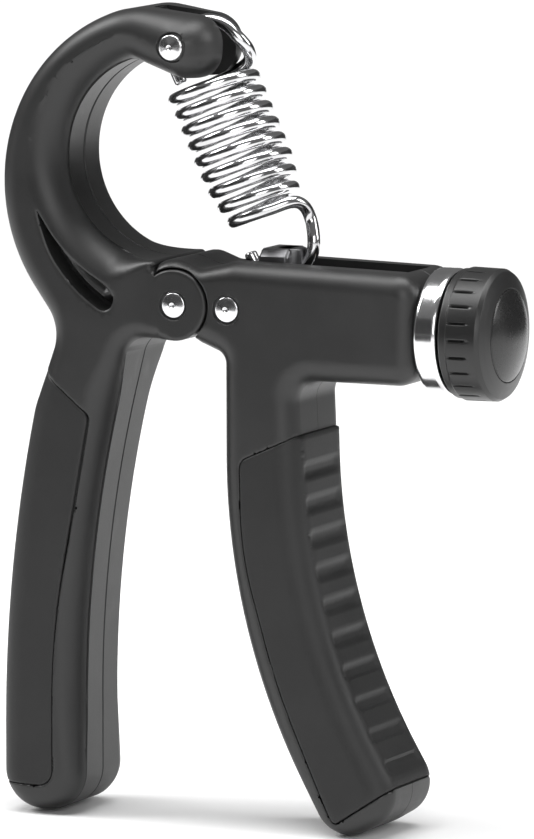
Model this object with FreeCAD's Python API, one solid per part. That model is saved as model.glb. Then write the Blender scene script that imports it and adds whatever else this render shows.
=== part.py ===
import FreeCAD, Part
import math
import os

# Hand grip strengthener with an adjustable coil spring.
# The working frame has its origin on the pivot axis at mid thickness.
# +X runs along the spring housing to the knob, +Z is up, +Y points to the back.
# All sizes are in millimetres. Every part is moved by SHIFT when it is saved,
# so that the saved origin is the middle of the palm grip.

V = FreeCAD.Vector
SHIFT = V(28.0, 0.0, 55.0)

# Levers
THICK = 24.0
HALF = THICK / 2
EDGE_R = 4.5
PAD_T = 2.2
WALL = 3.4
SHELL_T = 5.0

# Corners of the outlines: x, z and the radius of the rounding
PALM = [
    (6.6, 54.9, 5.5),
    (-11.1, 56.85, 13.0),
    (-37.7, 47.6, 35.2),
    (-37.7, 10.8, 35.2),
    (-25.5, -5.9, 8.5),
    (-31.25, -21.5, 18.0),
    (-38.0, -54.1, 300.0),
    (-38.0, -101.0, 8.0),
    (-21.0, -101.0, 8.0),
    (-21.0, -48.0, 250.0),
    (-10.8, -6.9, 5.0),
    (1.8, -6.9, 4.7),
    (1.8, 8.3, 4.7),
    (-24.7, 8.3, 19.2),
    (-24.7, 42.0, 19.8),
    (-10.4, 46.93, 2.4),
    (-0.9, 43.15, 4.8),
    (6.3, 43.5, 5.2),
]
PALM_PAD = [
    (-18.3, -22.4, 2.0),
    (-45.0, -0.5, 1.0),
    (-45.0, -95.7, 1.0),
    (-26.3, -95.7, 3.0),
    (-26.3, -66.0, 150.0),
]
SCOOP = [
    (-29.4, 17.0, 0.5),
    (-28.4, 9.6, 15.0),
    (-16.4, -2.8, 2.4),
    (-12.6, 1.3, 2.4),
    (-23.0, 9.3, 12.0),
]
FINGER = [
    (50.5, 7.9, 4.7),
    (11.6, 8.7, 8.0),
    (5.0, 6.95, 4.0),
    (-0.8, 9.1, 5.0),
    (-9.0, 5.6, 4.7),
    (-9.0, -2.0, 4.7),
    (9.75, -9.4, 2.5),
    (9.75, -62.3, 130.0),
    (32.9, -103.9, 7.0),
    (47.95, -94.9, 7.0),
    (27.0, -59.7, 119.0),
    (25.6, -13.6, 4.0),
    (50.5, -13.6, 4.7),
]
FINGER_PAD = [
    (60.0, -9.0, 1.0),
    (14.0, -29.4, 2.5),
    (14.3, -47.0, 60.0),
    (22.0, -73.0, 130.0),
    (33.6, -99.2, 1.0),
    (60.0, -81.8, 1.0),
]
PALM_HOLLOW = [
    (-22.4, -30.0, 1.5),
    (-28.4, -30.0, 1.5),
    (-33.6, -58.0, 100.0),
    (-33.6, -94.0, 2.5),
    (-25.0, -94.0, 2.5),
    (-25.0, -60.0, 100.0),
]
FINGER_HOLLOW = [
    (22.4, -28.0, 2.0),
    (14.6, -28.0, 2.0),
    (14.0, -45.0, 60.0),
    (20.4, -69.0, 100.0),
    (33.2, -93.2, 2.0),
    (39.6, -89.2, 2.0),
    (25.4, -62.0, 80.0),
]

# Pivot
EYE_R = 6.9
EYE_EDGE = 0.7
EYE_GAP = 0.4
LIP_X = 4.0
LIP_Z = 5.0
NOSE_X = -3.6
PLATE_Y = 3.0
PLATE_R = 5.4
PLATE = [
    (14.7, 2.7, 2.6),
    (0.0, 5.0, 0.5),
    (0.0, -5.0, 0.5),
    (14.7, -3.4, 2.6),
]
CLEVIS_Y = 3.6
CLEVIS_R = 6.0
PIN_R = 2.0
RUN = 0.05
BUSH_R = 3.0
WASHER_R = 5.2
HEAD_R = 2.5
HEAD_H = 0.8
SEAT_R = 2.9
SEAT = 0.4
GRIP_LENGTH = THICK - 2 * SEAT
TONGUE = (11.3, -0.3)

# Spring pin in the tip of the curved arm
SPRING_PIN = (-0.6, 49.6)
SPRING_PIN_R = 1.5
SLEEVE_R = 2.1
TIP_SLOT_Y = 3.0
TIP_SLOT_X = -8.2

# Spring
WIRE = 2.5
COIL_R = 8.0
COIL_END_R = 6.1
TAPER_TURN = 6.0
PITCH = 3.26
TURNS = 9
COIL_TOP = V(2.12, 0.0, 43.44)
LEAN = 24.9
HOOK_R = 6.95
TOP_HOOK = V(2.3, 0.0, 47.2)
LOW_HOOK = V(17.4, 0.0, 12.0)
LEAVE_TOP = 53.0
LEAVE_LOW = 55.0
COIL_ROOM = 1.7

# Adjuster
AXIS_Z = -3.8
SLOT_Y = 5.3
SLOT_X0 = 9.4
SLOT_X1 = 46.5
SLOT_FLOOR = -8.6
SHELF_Z = 3.1
THREAD_R = 3.0
ROOT_R = 2.4
THREAD_PITCH = 2.0
THREAD_X0 = 15.3
THREAD_X1 = 45.3
JOURNAL_R = 2.5
BUSH_OUT_R = 4.0
HOUSING_X1 = 50.5
RING_R = 12.4
RING_X1 = 55.2
WASHER_X1 = 55.7
KNOB_X0 = 55.75
KNOB_X1 = 64.9
KNOB_R = 12.8
CAP_R = 8.9
RIBS = 36

# Screws that hold the shells together
SCREW_R = 1.25
SCREW_HEAD_R = 2.3
SCREW_TOP = 8.6
SCREW_HEAD_H = 1.8
SCREW_END = -6.5
PALM_SCREWS = [(-31.2, 22.5), (-23.0, 44.4), (-18.5, -8.0), (-28.5, -45.0), (-29.5, -86.0)]
FINGER_SCREWS = [(17.6, -18.6), (19.4, -45.0), (34.2, -85.6), (38.0, -11.1)]

# Grooves across the finger pad
GROOVES = 10
GROOVE_STEP = 6.6
GROOVE_FIRST = 2.6
GROOVE_W = 1.1
GROOVE_D = 0.9


def unit(v):
    return V(v).normalize()


def rounded(corners):
    """Closed wire in the XZ plane with a rounding at every corner."""
    edges = []
    ends = []
    count = len(corners)
    for i in range(count):
        x, z, r = corners[i]
        here = V(x, 0, z)
        before = V(corners[i - 1][0], 0, corners[i - 1][1])
        after = V(corners[(i + 1) % count][0], 0, corners[(i + 1) % count][1])
        a = unit(before - here)
        b = unit(after - here)
        half = a.getAngle(b) / 2
        reach = r / math.tan(half)
        start = here + a * reach
        end = here + b * reach
        mid = here + unit(a + b) * (r / math.sin(half) - r)
        edges.append(Part.Arc(start, mid, end).toShape())
        ends.append((start, end))
    links = []
    for i in range(count):
        a = ends[i][1]
        b = ends[(i + 1) % count][0]
        links.append(edges[i])
        if (b - a).Length > 1e-4:
            links.append(Part.makeLine(a, b))
    return Part.Wire(Part.sortEdges(links)[0])


def inset(corners, d):
    """The same outline moved inwards by d. The corners run anticlockwise."""
    out = []
    count = len(corners)
    for i in range(count):
        x, z, r = corners[i]
        px, pz = corners[i - 1][:2]
        nx, nz = corners[(i + 1) % count][:2]
        ax, az = x - px, z - pz
        bx, bz = nx - x, nz - z
        la = math.hypot(ax, az)
        lb = math.hypot(bx, bz)
        ax, az, bx, bz = ax / la, az / la, bx / lb, bz / lb
        turn = ax * bz - az * bx
        dot = ax * bx + az * bz
        k = d / (1 + dot)
        mx = -az - bz
        mz = ax + bx
        new_r = r - d if turn > 0 else r + d
        out.append((x + mx * k, z + mz * k, max(new_r, 0.2)))
    return out


def slab(corners, y0, y1):
    face = Part.Face(rounded(corners))
    solid = face.extrude(V(0, y1 - y0, 0))
    solid.translate(V(0, y0, 0))
    return solid


def soft_slab(corners):
    """A slab of full thickness with round long edges on both faces."""
    solid = slab(corners, -HALF, HALF)
    edges = []
    for e in solid.Edges:
        box = e.BoundBox
        if box.YLength < 1e-4 and abs(abs(box.YMin) - HALF) < 1e-4:
            edges.append(e)
    return solid.makeFillet(EDGE_R, edges)


def rod(x, z, r, y0, y1):
    return Part.makeCylinder(r, y1 - y0, V(x, y0, z), V(0, 1, 0))


def bar(x0, x1, r):
    """Cylinder on the axis of the adjusting screw."""
    return Part.makeCylinder(r, x1 - x0, V(x0, 0, AXIS_Z), V(1, 0, 0))


def block(x0, x1, y0, y1, z0, z1):
    return Part.makeBox(x1 - x0, y1 - y0, z1 - z0, V(x0, y0, z0))


def turned(profile):
    """Solid of revolution about the screw axis. Profile points are x and radius."""
    points = [V(x, 0, AXIS_Z + r) for x, r in profile]
    face = Part.Face(Part.makePolygon(points + [points[0]]))
    return face.revolve(V(0, 0, AXIS_Z), V(1, 0, 0), 360)


def eye_disc():
    disc = rod(0, 0, EYE_R, -HALF, HALF)
    rims = [e for e in disc.Edges if e.BoundBox.YLength < 1e-4]
    return disc.makeFillet(EYE_EDGE, rims)


def rivet(x, z, shank, length):
    """Pin with a low domed head at each end."""
    y = length / 2
    profile = [V(0, -y - HEAD_H, 0), V(HEAD_R * 0.6, -y - HEAD_H, 0), V(HEAD_R, -y, 0)]
    profile += [V(shank, -y, 0), V(shank, y, 0), V(HEAD_R, y, 0)]
    profile += [V(HEAD_R * 0.6, y + HEAD_H, 0), V(0, y + HEAD_H, 0)]
    face = Part.Face(Part.makePolygon(profile + [profile[0]]))
    solid = face.revolve(V(0, 0, 0), V(0, 1, 0), 360)
    solid.translate(V(x, 0, z))
    return solid


def rivet_hole(solid, x, z, r):
    """Hole for a rivet, with a shallow round seat for its head in both faces."""
    solid = solid.cut(rod(x, z, r, -20, 20))
    solid = solid.cut(rod(x, z, SEAT_R, -20, -HALF + SEAT))
    return solid.cut(rod(x, z, SEAT_R, HALF - SEAT, 20))


def screws(places):
    out = []
    for x, z in places:
        head = rod(x, z, SCREW_HEAD_R, SCREW_TOP - SCREW_HEAD_H, SCREW_TOP)
        drive = rod(x, z, 1.0, SCREW_TOP - 1.0, SCREW_TOP + 0.1)
        shank = rod(x, z, SCREW_R, SCREW_END, SCREW_TOP - SCREW_HEAD_H)
        out.append(head.cut(drive).fuse(shank))
    return Part.makeCompound(out)


def screw_holes(solid, places):
    for x, z in places:
        solid = solid.cut(rod(x, z, SCREW_R, SCREW_END, SCREW_TOP))
        solid = solid.cut(rod(x, z, SCREW_HEAD_R, SCREW_TOP - SCREW_HEAD_H, HALF + 1))
    return solid


def bosses(hollow, places):
    for x, z in places:
        hollow = hollow.cut(rod(x, z, SCREW_HEAD_R + 1.4, -HALF, HALF))
    return hollow


def halves(solid):
    front = solid.common(block(-90, 90, -20, 0, -120, 90))
    back = solid.common(block(-90, 90, 0, 20, -120, 90))
    return front, back


def palm_lever():
    """Front shell, back shell and rubber pad of the curved lever."""
    arm = soft_slab(PALM).cut(block(NOSE_X - EYE_GAP, 15, -20, 20, 0, 20))
    whole = arm.fuse(eye_disc()).removeSplitter()
    core = slab(inset(PALM, PAD_T), -HALF + PAD_T, HALF - PAD_T)
    region = slab(PALM_PAD, -HALF - 1, HALF + 1)
    pad = whole.common(region).cut(core)
    body = whole.cut(pad)

    arm_out = rod(-2.4, 22.5, 35.3 - WALL, -HALF + WALL, HALF - WALL)
    arm_in = rod(-4.9, 27.6, 19.8 + WALL, -HALF, HALF)
    arm = arm_out.cut(arm_in).common(block(-40, -16.0, -HALF, HALF, 8.0, 60))
    grip = slab(PALM_HOLLOW, -HALF + SHELL_T, HALF - SHELL_T)
    hollow = bosses(arm.fuse(grip), PALM_SCREWS)
    body = body.cut(hollow)

    slot = rod(0, 0, CLEVIS_R, -CLEVIS_Y, CLEVIS_Y)
    slot = slot.fuse(block(0, 15, -CLEVIS_Y, CLEVIS_Y, -14, 14))
    tip = block(TIP_SLOT_X, 20, -TIP_SLOT_Y, TIP_SLOT_Y, 38, 70)
    body = body.cut(slot).cut(tip).cut(coil_relief())

    body = rivet_hole(body, 0, 0, PIN_R)
    body = rivet_hole(body, SPRING_PIN[0], SPRING_PIN[1], SPRING_PIN_R)
    for side in (-1, 1):
        y = side * (HALF - 0.75)
        body = body.cut(slab(SCOOP, y - 0.8, y + 0.8))
    body = screw_holes(body, PALM_SCREWS)
    front, back = halves(body)
    return front, back, pad


def finger_lever():
    """Front shell, back shell and rubber pad of the lever with the housing."""
    whole = soft_slab(FINGER)
    whole = whole.cut(block(-20, LIP_X, -20, 20, -40, LIP_Z))
    whole = whole.cut(block(-20, NOSE_X, -20, 20, -40, 20))
    whole = whole.cut(rod(0, 0, EYE_R + EYE_GAP, -20, 20))
    core = slab(inset(FINGER, PAD_T), -HALF + PAD_T, HALF - PAD_T)
    region = slab(FINGER_PAD, -HALF - 1, HALF + 1)
    pad = whole.common(region).cut(core)
    body = whole.cut(pad)
    pad = pad.cut(grooves())

    grip = bosses(slab(FINGER_HOLLOW, -HALF + SHELL_T, HALF - SHELL_T), FINGER_SCREWS)
    body = body.cut(grip)
    body = body.cut(block(SLOT_X0, SLOT_X1, -SLOT_Y, SLOT_Y, SHELF_Z, 20))
    body = body.cut(block(15.0, SLOT_X1, -SLOT_Y, SLOT_Y, SLOT_FLOOR, SHELF_Z))
    body = body.cut(slab(PLATE, -PLATE_Y, PLATE_Y))
    body = rivet_hole(body, TONGUE[0], TONGUE[1], PIN_R)
    body = body.cut(bar(SLOT_X1 - 1, 60, BUSH_OUT_R))
    body = screw_holes(body, FINGER_SCREWS)
    front, back = halves(body)
    return front, back, pad


def grooves():
    """Cutters across the outer face of the finger pad, square to its curve."""
    x, z, r = FINGER[10]
    lean = math.atan2(27.0 - 25.6, 59.7 - 13.6)
    reach = r * math.tan((math.atan2(47.95 - 27.0, 94.9 - 59.7) - lean) / 2)
    start = V(x - reach * math.sin(lean), 0, z + reach * math.cos(lean))
    centre = start + V(math.cos(lean), 0, math.sin(lean)) * r
    tools = []
    for i in range(GROOVES):
        angle = (GROOVE_FIRST + i * GROOVE_STEP) / r - lean
        tool = block(-r - GROOVE_D, -r + 6, -14, 14, -GROOVE_W / 2, GROOVE_W / 2)
        tool.rotate(V(0, 0, 0), V(0, 1, 0), -math.degrees(angle))
        tool.translate(centre)
        tools.append(tool)
    return Part.makeCompound(tools)


def hinge_plate():
    plate = slab(PLATE, -PLATE_Y, PLATE_Y).fuse(rod(0, 0, PLATE_R, -PLATE_Y, PLATE_Y))
    plate = plate.cut(rod(0, 0, BUSH_R, -20, 20))
    return plate.cut(rod(TONGUE[0], TONGUE[1], PIN_R, -20, 20))


def washers():
    out = []
    for y0 in (-CLEVIS_Y + 0.05, PLATE_Y + 0.05):
        ring = rod(0, 0, WASHER_R, y0, y0 + 0.5)
        out.append(ring.cut(rod(0, 0, PIN_R, -20, 20)))
    return Part.makeCompound(out)


def tube(x, z, r_out, r_in, y):
    return rod(x, z, r_out, -y, y).cut(rod(x, z, r_in, -y - 1, y + 1))


def biarc(p0, t0, p1, t1):
    """Two arcs that leave p0 along t0 and reach p1 along t1."""
    v = p1 - p0
    a = 2 * (1 - t0.dot(t1))
    vt = v.dot(t0 + t1)
    if a < 1e-9:
        d = v.dot(v) / (4 * v.dot(t1))
    else:
        d = (math.sqrt(vt * vt + a * v.dot(v)) - vt) / a
    q0 = p0 + t0 * d
    q1 = p1 - t1 * d
    m = (q0 + q1) * 0.5
    return [arc(p0, q0, m), arc(m, q1, p1)]


def arc(a, q, b):
    """Arc from a to b whose end tangents meet at q."""
    c = (a + b) * 0.5
    alpha = (q - a).getAngle(b - a)
    if alpha < 1e-4:
        return Part.makeLine(a, b)
    mid = c + (q - c) * (math.tan(alpha / 2) / math.tan(alpha))
    return Part.Arc(a, mid, b).toShape()


def coil_axes():
    lean = math.radians(LEAN)
    down = V(math.sin(lean), 0, -math.cos(lean))
    right = V(math.cos(lean), 0, math.sin(lean))
    return down, right


def coil_radius(angle):
    """Radius of the coil, which gets smaller in its last turns."""
    part = (angle / 360 - TAPER_TURN) / (TURNS - TAPER_TURN)
    return COIL_R - (COIL_R - COIL_END_R) * max(part, 0.0) ** 1.3


def coil_point(angle):
    """Place and direction on the coil after a turn of angle degrees."""
    down, right = coil_axes()
    a = math.radians(angle)
    out = right * math.cos(a) + V(0, math.sin(a), 0)
    side = right * -math.sin(a) + V(0, math.cos(a), 0)
    r = coil_radius(angle)
    growth = (coil_radius(angle + 1) - coil_radius(angle - 1)) / math.radians(2)
    place = COIL_TOP + down * (PITCH * angle / 360) + out * r
    return place, unit(side * r + out * growth + down * (PITCH / (2 * math.pi)))


def coil_relief():
    """Ring of room for the first turn of the coil, under the back cheek."""
    down, right = coil_axes()
    base = COIL_TOP - down * 1.3
    ring = Part.makeCylinder(COIL_R + COIL_ROOM, 6.0, base, down)
    ring = ring.cut(Part.makeCylinder(COIL_R - COIL_ROOM, 6.0, base, down))
    return ring.common(block(-20, 20, 0, 20, 20, 60))


def hook_point(centre, angle):
    """Place on a hook and the direction of travel that turns clockwise."""
    a = math.radians(angle)
    place = centre + V(math.cos(a), 0, math.sin(a)) * HOOK_R
    return place, V(math.sin(a), 0, -math.cos(a))


def spring_stops():
    """Places and directions along the wire, from the upper hook to the lower one."""
    stops = [(V(-3.7, 0, 41.6), unit(V(-0.5, 0, 0.87))), (V(-5.4, 0, 46.5), V(0, 0, 1))]
    stops += [hook_point(TOP_HOOK, a) for a in (90, 45)]
    stops.append((V(9.6, 1.4, 48.9), unit(V(0.18, 0.55, -0.72))))
    stops.append(coil_point(LEAVE_TOP))
    for i in range(1, 4 * TURNS):
        stops.append(coil_point(90 * i))
    stops.append(coil_point(360 * TURNS - LEAVE_LOW))
    stops.append((V(21.6, -1.4, 19.85), unit(V(0.61, 1.0, -0.35))))
    stops.append((V(23.1, 1.2, 16.5), unit(V(0.28, 0.08, -0.92))))
    stops += [hook_point(LOW_HOOK, a) for a in (0, -90, -160)]
    return stops


def spring():
    stops = spring_stops()
    edges = []
    for (p0, t0), (p1, t1) in zip(stops, stops[1:]):
        edges += biarc(p0, t0, p1, t1)
    path = Part.Wire(edges)
    start, way = stops[0]
    ring = Part.Wire([Part.makeCircle(WIRE / 2, start, way)])
    print("spring: least gap of the wire to itself %.2f mm" % least_gap(edges))
    return path.makePipeShell([ring], True, False)


def least_gap(edges):
    """Smallest clear gap between parts of the wire that aren't neighbours."""
    points = []
    for e in edges:
        points += e.discretize(max(3, int(e.Length / 0.5)))[:-1]
    along = [0.0]
    for a, b in zip(points, points[1:]):
        along.append(along[-1] + (b - a).Length)
    least = 1e9
    for i in range(len(points)):
        for j in range(i + 1, len(points)):
            if along[j] - along[i] > 3.5 * WIRE:
                least = min(least, (points[i] - points[j]).Length)
    return least - WIRE


def carriage():
    """Block that carries the lower hook, and the threaded insert inside it."""
    base = block(15.2, 22.7, -5.1, 5.1, -8.4, 3.3)
    head = block(14.9, 20.9, -5.0, 5.0, 3.3, 11.0)
    tops = [e for e in head.Edges if e.BoundBox.ZLength < 1e-4 and e.BoundBox.ZMin > 10.9]
    head = head.makeChamfer(1.4, [e for e in tops if e.BoundBox.XLength > 1])
    boss = Part.makeCylinder(3.0, 7.7, V(19.7, 0, 3.3), V(0, 0, 1))
    body = base.fuse(head).fuse(boss).removeSplitter()
    eye = Part.makeTorus(HOOK_R, WIRE / 2 + 0.4, LOW_HOOK, V(0, 1, 0))
    body = body.cut(eye).cut(bar(15.0, 23.0, 4.2))
    insert = bar(15.4, 22.5, 4.2).cut(bar(15.0, 23.0, THREAD_R + 0.08))
    return body, insert


def lead_screw():
    profile = [(THREAD_X0, 0), (THREAD_X0, ROOT_R)]
    x = THREAD_X0
    while x < THREAD_X1 - 0.1:
        profile += [(x + 0.4, THREAD_R), (x + 0.9, THREAD_R)]
        profile += [(x + 1.3, ROOT_R), (x + THREAD_PITCH, ROOT_R)]
        x += THREAD_PITCH
    profile += [(THREAD_X1, JOURNAL_R), (61.0, JOURNAL_R), (61.0, 2.0), (63.4, 2.0), (63.4, 0)]
    return turned(profile)


def circlip():
    ring = bar(45.5, 46.3, 4.4).cut(bar(45.0, 47.0, JOURNAL_R))
    return ring.cut(block(45.0, 47.0, -1.2, 1.2, AXIS_Z, AXIS_Z + 8))


def collar_ring():
    x0 = HOUSING_X1
    profile = [(x0, BUSH_OUT_R), (x0, RING_R - 0.8), (x0 + 0.8, RING_R)]
    profile += [(RING_X1 - 0.8, RING_R), (RING_X1, RING_R - 0.8), (RING_X1, BUSH_OUT_R)]
    return turned(profile)


def knob():
    """Knob body with ribs, its nut and its cap."""
    x0 = KNOB_X0
    x1 = KNOB_X1
    profile = [(x0, JOURNAL_R), (x0, 6.4), (x0 + 4.0, 6.4), (x0 + 4.0, 10.6), (x0, 10.6)]
    profile += [(x0, KNOB_R - 0.6), (x0 + 0.6, KNOB_R), (x1 - 1.35, KNOB_R - 0.1)]
    profile += [(x1 - 0.7, KNOB_R - 0.6), (x1 + 0.4, CAP_R), (61.0, CAP_R)]
    profile += [(61.0, JOURNAL_R)]
    body = turned(profile)
    cuts = []
    for i in range(RIBS):
        a = 2 * math.pi * i / RIBS
        y = (KNOB_R + 0.15) * math.cos(a)
        z = AXIS_Z + (KNOB_R + 0.15) * math.sin(a)
        cuts.append(Part.makeCylinder(0.55, 7.6, V(x0 + 0.8, y, z), V(1, 0, 0)))
    body = body.cut(Part.makeCompound(cuts))

    hexagon = [V(61.0, 4.0 * math.cos(math.radians(60 * i)), 4.0 * math.sin(math.radians(60 * i)))
               for i in range(6)]
    nut = Part.Face(Part.makePolygon(hexagon + [hexagon[0]])).extrude(V(2.2, 0, 0))
    nut.translate(V(0, 0, AXIS_Z))
    nut = nut.cut(bar(60.0, 65.0, 2.0))

    cap = [(61.4, 7.6), (61.4, CAP_R), (65.4, CAP_R), (66.6, 5.7), (67.2, 3.0)]
    cap += [(67.45, 0), (64.4, 0), (64.4, 7.6)]
    return body, nut, turned(cap)


def save(name, shape):
    shape = shape.copy()
    shape.translate(SHIFT)
    shape.exportStep("parts/%s.step" % name)
    print("%-20s %d solids, valid %s" % (name, len(shape.Solids), shape.isValid()))


def main():
    os.makedirs("parts", exist_ok=True)
    front, back, pad = palm_lever()
    save("palm_front_shell", front)
    save("palm_back_shell", back)
    save("palm_grip_pad", pad)
    save("palm_shell_screws", screws(PALM_SCREWS))
    save("spring_pin", rivet(SPRING_PIN[0], SPRING_PIN[1], SPRING_PIN_R, GRIP_LENGTH))
    save("pin_sleeve", tube(SPRING_PIN[0], SPRING_PIN[1], SLEEVE_R, SPRING_PIN_R, 2.8))
    save("pivot_pin", rivet(0, 0, PIN_R, GRIP_LENGTH))
    save("pivot_washers", washers())

    front, back, pad = finger_lever()
    save("finger_front_shell", front)
    save("finger_back_shell", back)
    save("finger_grip_pad", pad)
    save("finger_shell_screws", screws(FINGER_SCREWS))
    save("hinge_plate", hinge_plate())
    save("tongue_rivet", rivet(TONGUE[0], TONGUE[1], PIN_R, GRIP_LENGTH))
    save("pivot_bush", tube(0, 0, BUSH_R, PIN_R + RUN, PLATE_Y))
    save("screw_bush", bar(SLOT_X1, RING_X1, BUSH_OUT_R).cut(bar(40, 60, JOURNAL_R + RUN)))
    save("collar_ring", collar_ring())
    save("thrust_washer", bar(RING_X1, WASHER_X1, 6.0).cut(bar(50, 60, JOURNAL_R + 0.1)))

    save("lead_screw", lead_screw())
    save("circlip", circlip())
    body, nut, cap = knob()
    save("knob_body", body)
    save("knob_nut", nut)
    save("knob_cap", cap)

    body, insert = carriage()
    save("carriage_block", body)
    save("carriage_insert", insert)
    save("spring", spring())


main()
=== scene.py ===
"""Dresses the hand grip strengthener: shells, rubber pads, spring, knob, rivets and studio."""
import logging
import math
from dataclasses import dataclass, field
from enum import Enum
from typing import Callable, Optional, Sequence, Union

import bpy
import numpy as np
from mathutils import Matrix, Vector
from mathutils.geometry import delaunay_2d_cdt


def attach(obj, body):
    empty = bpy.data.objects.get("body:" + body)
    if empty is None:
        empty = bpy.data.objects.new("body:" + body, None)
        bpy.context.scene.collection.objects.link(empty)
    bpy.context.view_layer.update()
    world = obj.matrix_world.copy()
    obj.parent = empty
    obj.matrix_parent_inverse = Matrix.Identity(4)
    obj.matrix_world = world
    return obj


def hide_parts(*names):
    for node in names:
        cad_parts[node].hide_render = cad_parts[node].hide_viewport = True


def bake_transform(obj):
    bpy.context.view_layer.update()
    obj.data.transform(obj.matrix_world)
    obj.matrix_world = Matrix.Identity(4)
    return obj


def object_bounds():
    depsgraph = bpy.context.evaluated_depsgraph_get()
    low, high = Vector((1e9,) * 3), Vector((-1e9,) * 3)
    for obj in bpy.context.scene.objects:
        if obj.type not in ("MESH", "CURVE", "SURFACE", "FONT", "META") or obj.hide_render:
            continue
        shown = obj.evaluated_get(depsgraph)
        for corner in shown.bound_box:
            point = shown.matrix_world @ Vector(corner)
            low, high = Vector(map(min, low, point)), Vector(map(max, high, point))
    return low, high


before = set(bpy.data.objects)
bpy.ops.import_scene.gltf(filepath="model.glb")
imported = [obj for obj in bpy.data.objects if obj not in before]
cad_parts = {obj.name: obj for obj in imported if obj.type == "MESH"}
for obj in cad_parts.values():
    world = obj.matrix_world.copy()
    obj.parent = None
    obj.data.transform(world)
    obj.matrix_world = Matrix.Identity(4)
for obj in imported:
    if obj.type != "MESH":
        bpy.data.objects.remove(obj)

CAD_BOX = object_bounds()
LOG = logging.getLogger("grip")

Array = np.ndarray
Pair = tuple[float, float]
Triple = tuple[float, float, float]
Surface = tuple[Array, list]
Number = Union[float, Array]

# Millimetres from the pivot axis to the frame's origin, the middle of the palm grip
SHIFT = np.array([28.0, 0.0, 55.0])
# Half the thickness of both levers
HALF = 12.0
# Longest turn between two points of an outline's arc and of a profile's, in radians
FINE_TURN = 0.14
COARSE_TURN = 0.3
# A corner that turns by less than twice this is left as it is
STRAIGHT = 1e-3
# Distance of a mesh point from a step of the inner face, and the least one from a mesh's rim
BESIDE = 0.03
RIM_GAP = 0.08
# Distance between the rows of a triangular grid, for a pitch of 1
ROW_PITCH = 0.866
# Points of the scoop's edge for each of its spots, and of the wire for each of its stops
SCOOP_PARTS = 8
WIRE_PARTS = 14


class Side(Enum):
    """Which face of a lever a half shell lies on."""

    FRONT = -1.0
    BACK = 1.0


BOTH = (Side.FRONT, Side.BACK)

# ---- shader maths


class Value:
    """A shader socket that adds Math nodes when Python's operators are used on it."""

    def __init__(self, book: "Book", socket: bpy.types.NodeSocket) -> None:
        """Keeps the socket and the book that its nodes go in."""
        self.book = book
        self.socket = socket

    def _math(self, operation: str, a: "Operand", b: "Operand") -> "Value":
        """Adds one Math node."""
        return self.book.node("ShaderNodeMath", {"operation": operation}, {0: a, 1: b})

    def __add__(self, other: "Operand") -> "Value":
        """Sum."""
        return self._math("ADD", self, other)

    def __radd__(self, other: "Operand") -> "Value":
        """Sum with a number on the left."""
        return self._math("ADD", other, self)

    def __sub__(self, other: "Operand") -> "Value":
        """Difference."""
        return self._math("SUBTRACT", self, other)

    def __rsub__(self, other: "Operand") -> "Value":
        """Difference with a number on the left."""
        return self._math("SUBTRACT", other, self)

    def __mul__(self, other: "Operand") -> "Value":
        """Product."""
        return self._math("MULTIPLY", self, other)

    def __rmul__(self, other: "Operand") -> "Value":
        """Product with a number on the left."""
        return self._math("MULTIPLY", other, self)

    def __pow__(self, other: "Operand") -> "Value":
        """Power."""
        return self._math("POWER", self, other)

    def clamp(self) -> "Value":
        """The value held between 0 and 1."""
        return self.book.node("ShaderNodeClamp", {}, {0: self})

    def ramp(self, low: float, high: float) -> "Value":
        """0 below low, 1 above high, and a smooth step between."""
        return self.book.node(
            "ShaderNodeMapRange", {"interpolation_type": "SMOOTHSTEP"}, {0: self, 1: low, 2: high}
        )


Operand = Union[float, Value]


class Book:
    """The node tree of one material."""

    def __init__(self, name: str) -> None:
        """Starts an empty material with its output node."""
        self.material = bpy.data.materials.new(name)
        self.material.use_nodes = True
        self.tree = self.material.node_tree
        self.tree.nodes.clear()
        self.output = self.tree.nodes.new("ShaderNodeOutputMaterial")

    def node(self, kind: str, settings: dict, inputs: dict, out: Union[int, str] = 0) -> Value:
        """Adds a node.

        Args:
            kind: the node's type.
            settings: properties of the node, set before its sockets.
            inputs: socket index or name to a value, a colour or another socket.
            out: the output socket that is wanted.

        Returns:
            The chosen output.
        """
        made = self.tree.nodes.new(kind)
        for key, value in settings.items():
            setattr(made, key, value)
        for key, value in inputs.items():
            if isinstance(value, Value):
                self.tree.links.new(value.socket, made.inputs[key])
            else:
                made.inputs[key].default_value = value
        return Value(self, made.outputs[out])

    def place(self, stretch: Triple = (1.0, 1.0, 1.0)) -> Value:
        """Object coordinates, stretched along the axes."""
        spot = self.node("ShaderNodeTexCoord", {}, {}, "Object")
        return self.node("ShaderNodeMapping", {}, {"Vector": spot, "Scale": stretch})

    def noise(self, where: Value, scale: float, detail: float = 3.0, rough: float = 0.5) -> Value:
        """Fractal noise between 0 and 1."""
        return self.node(
            "ShaderNodeTexNoise",
            {},
            {"Vector": where, "Scale": scale, "Detail": detail, "Roughness": rough},
        )

    def mix(self, factor: Operand, a: Sequence[float], b: Sequence[float]) -> Value:
        """Colour between a and b."""
        return self.node(
            "ShaderNodeMix",
            {"data_type": "RGBA"},
            {"Factor": factor, 6: (*a, 1.0), 7: (*b, 1.0)},
            2,
        )

    def bump(self, height: Value, depth: float, strength: float = 1.0) -> Value:
        """Normal from a height, with depth in metres."""
        return self.node(
            "ShaderNodeBump", {}, {"Height": height, "Distance": depth, "Strength": strength}
        )

    def surface(self, values: dict) -> bpy.types.Material:
        """Finishes the material with one Principled shader."""
        shader = self.node("ShaderNodeBsdfPrincipled", {}, values)
        self.tree.links.new(shader.socket, self.output.inputs["Surface"])
        return self.material


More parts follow.
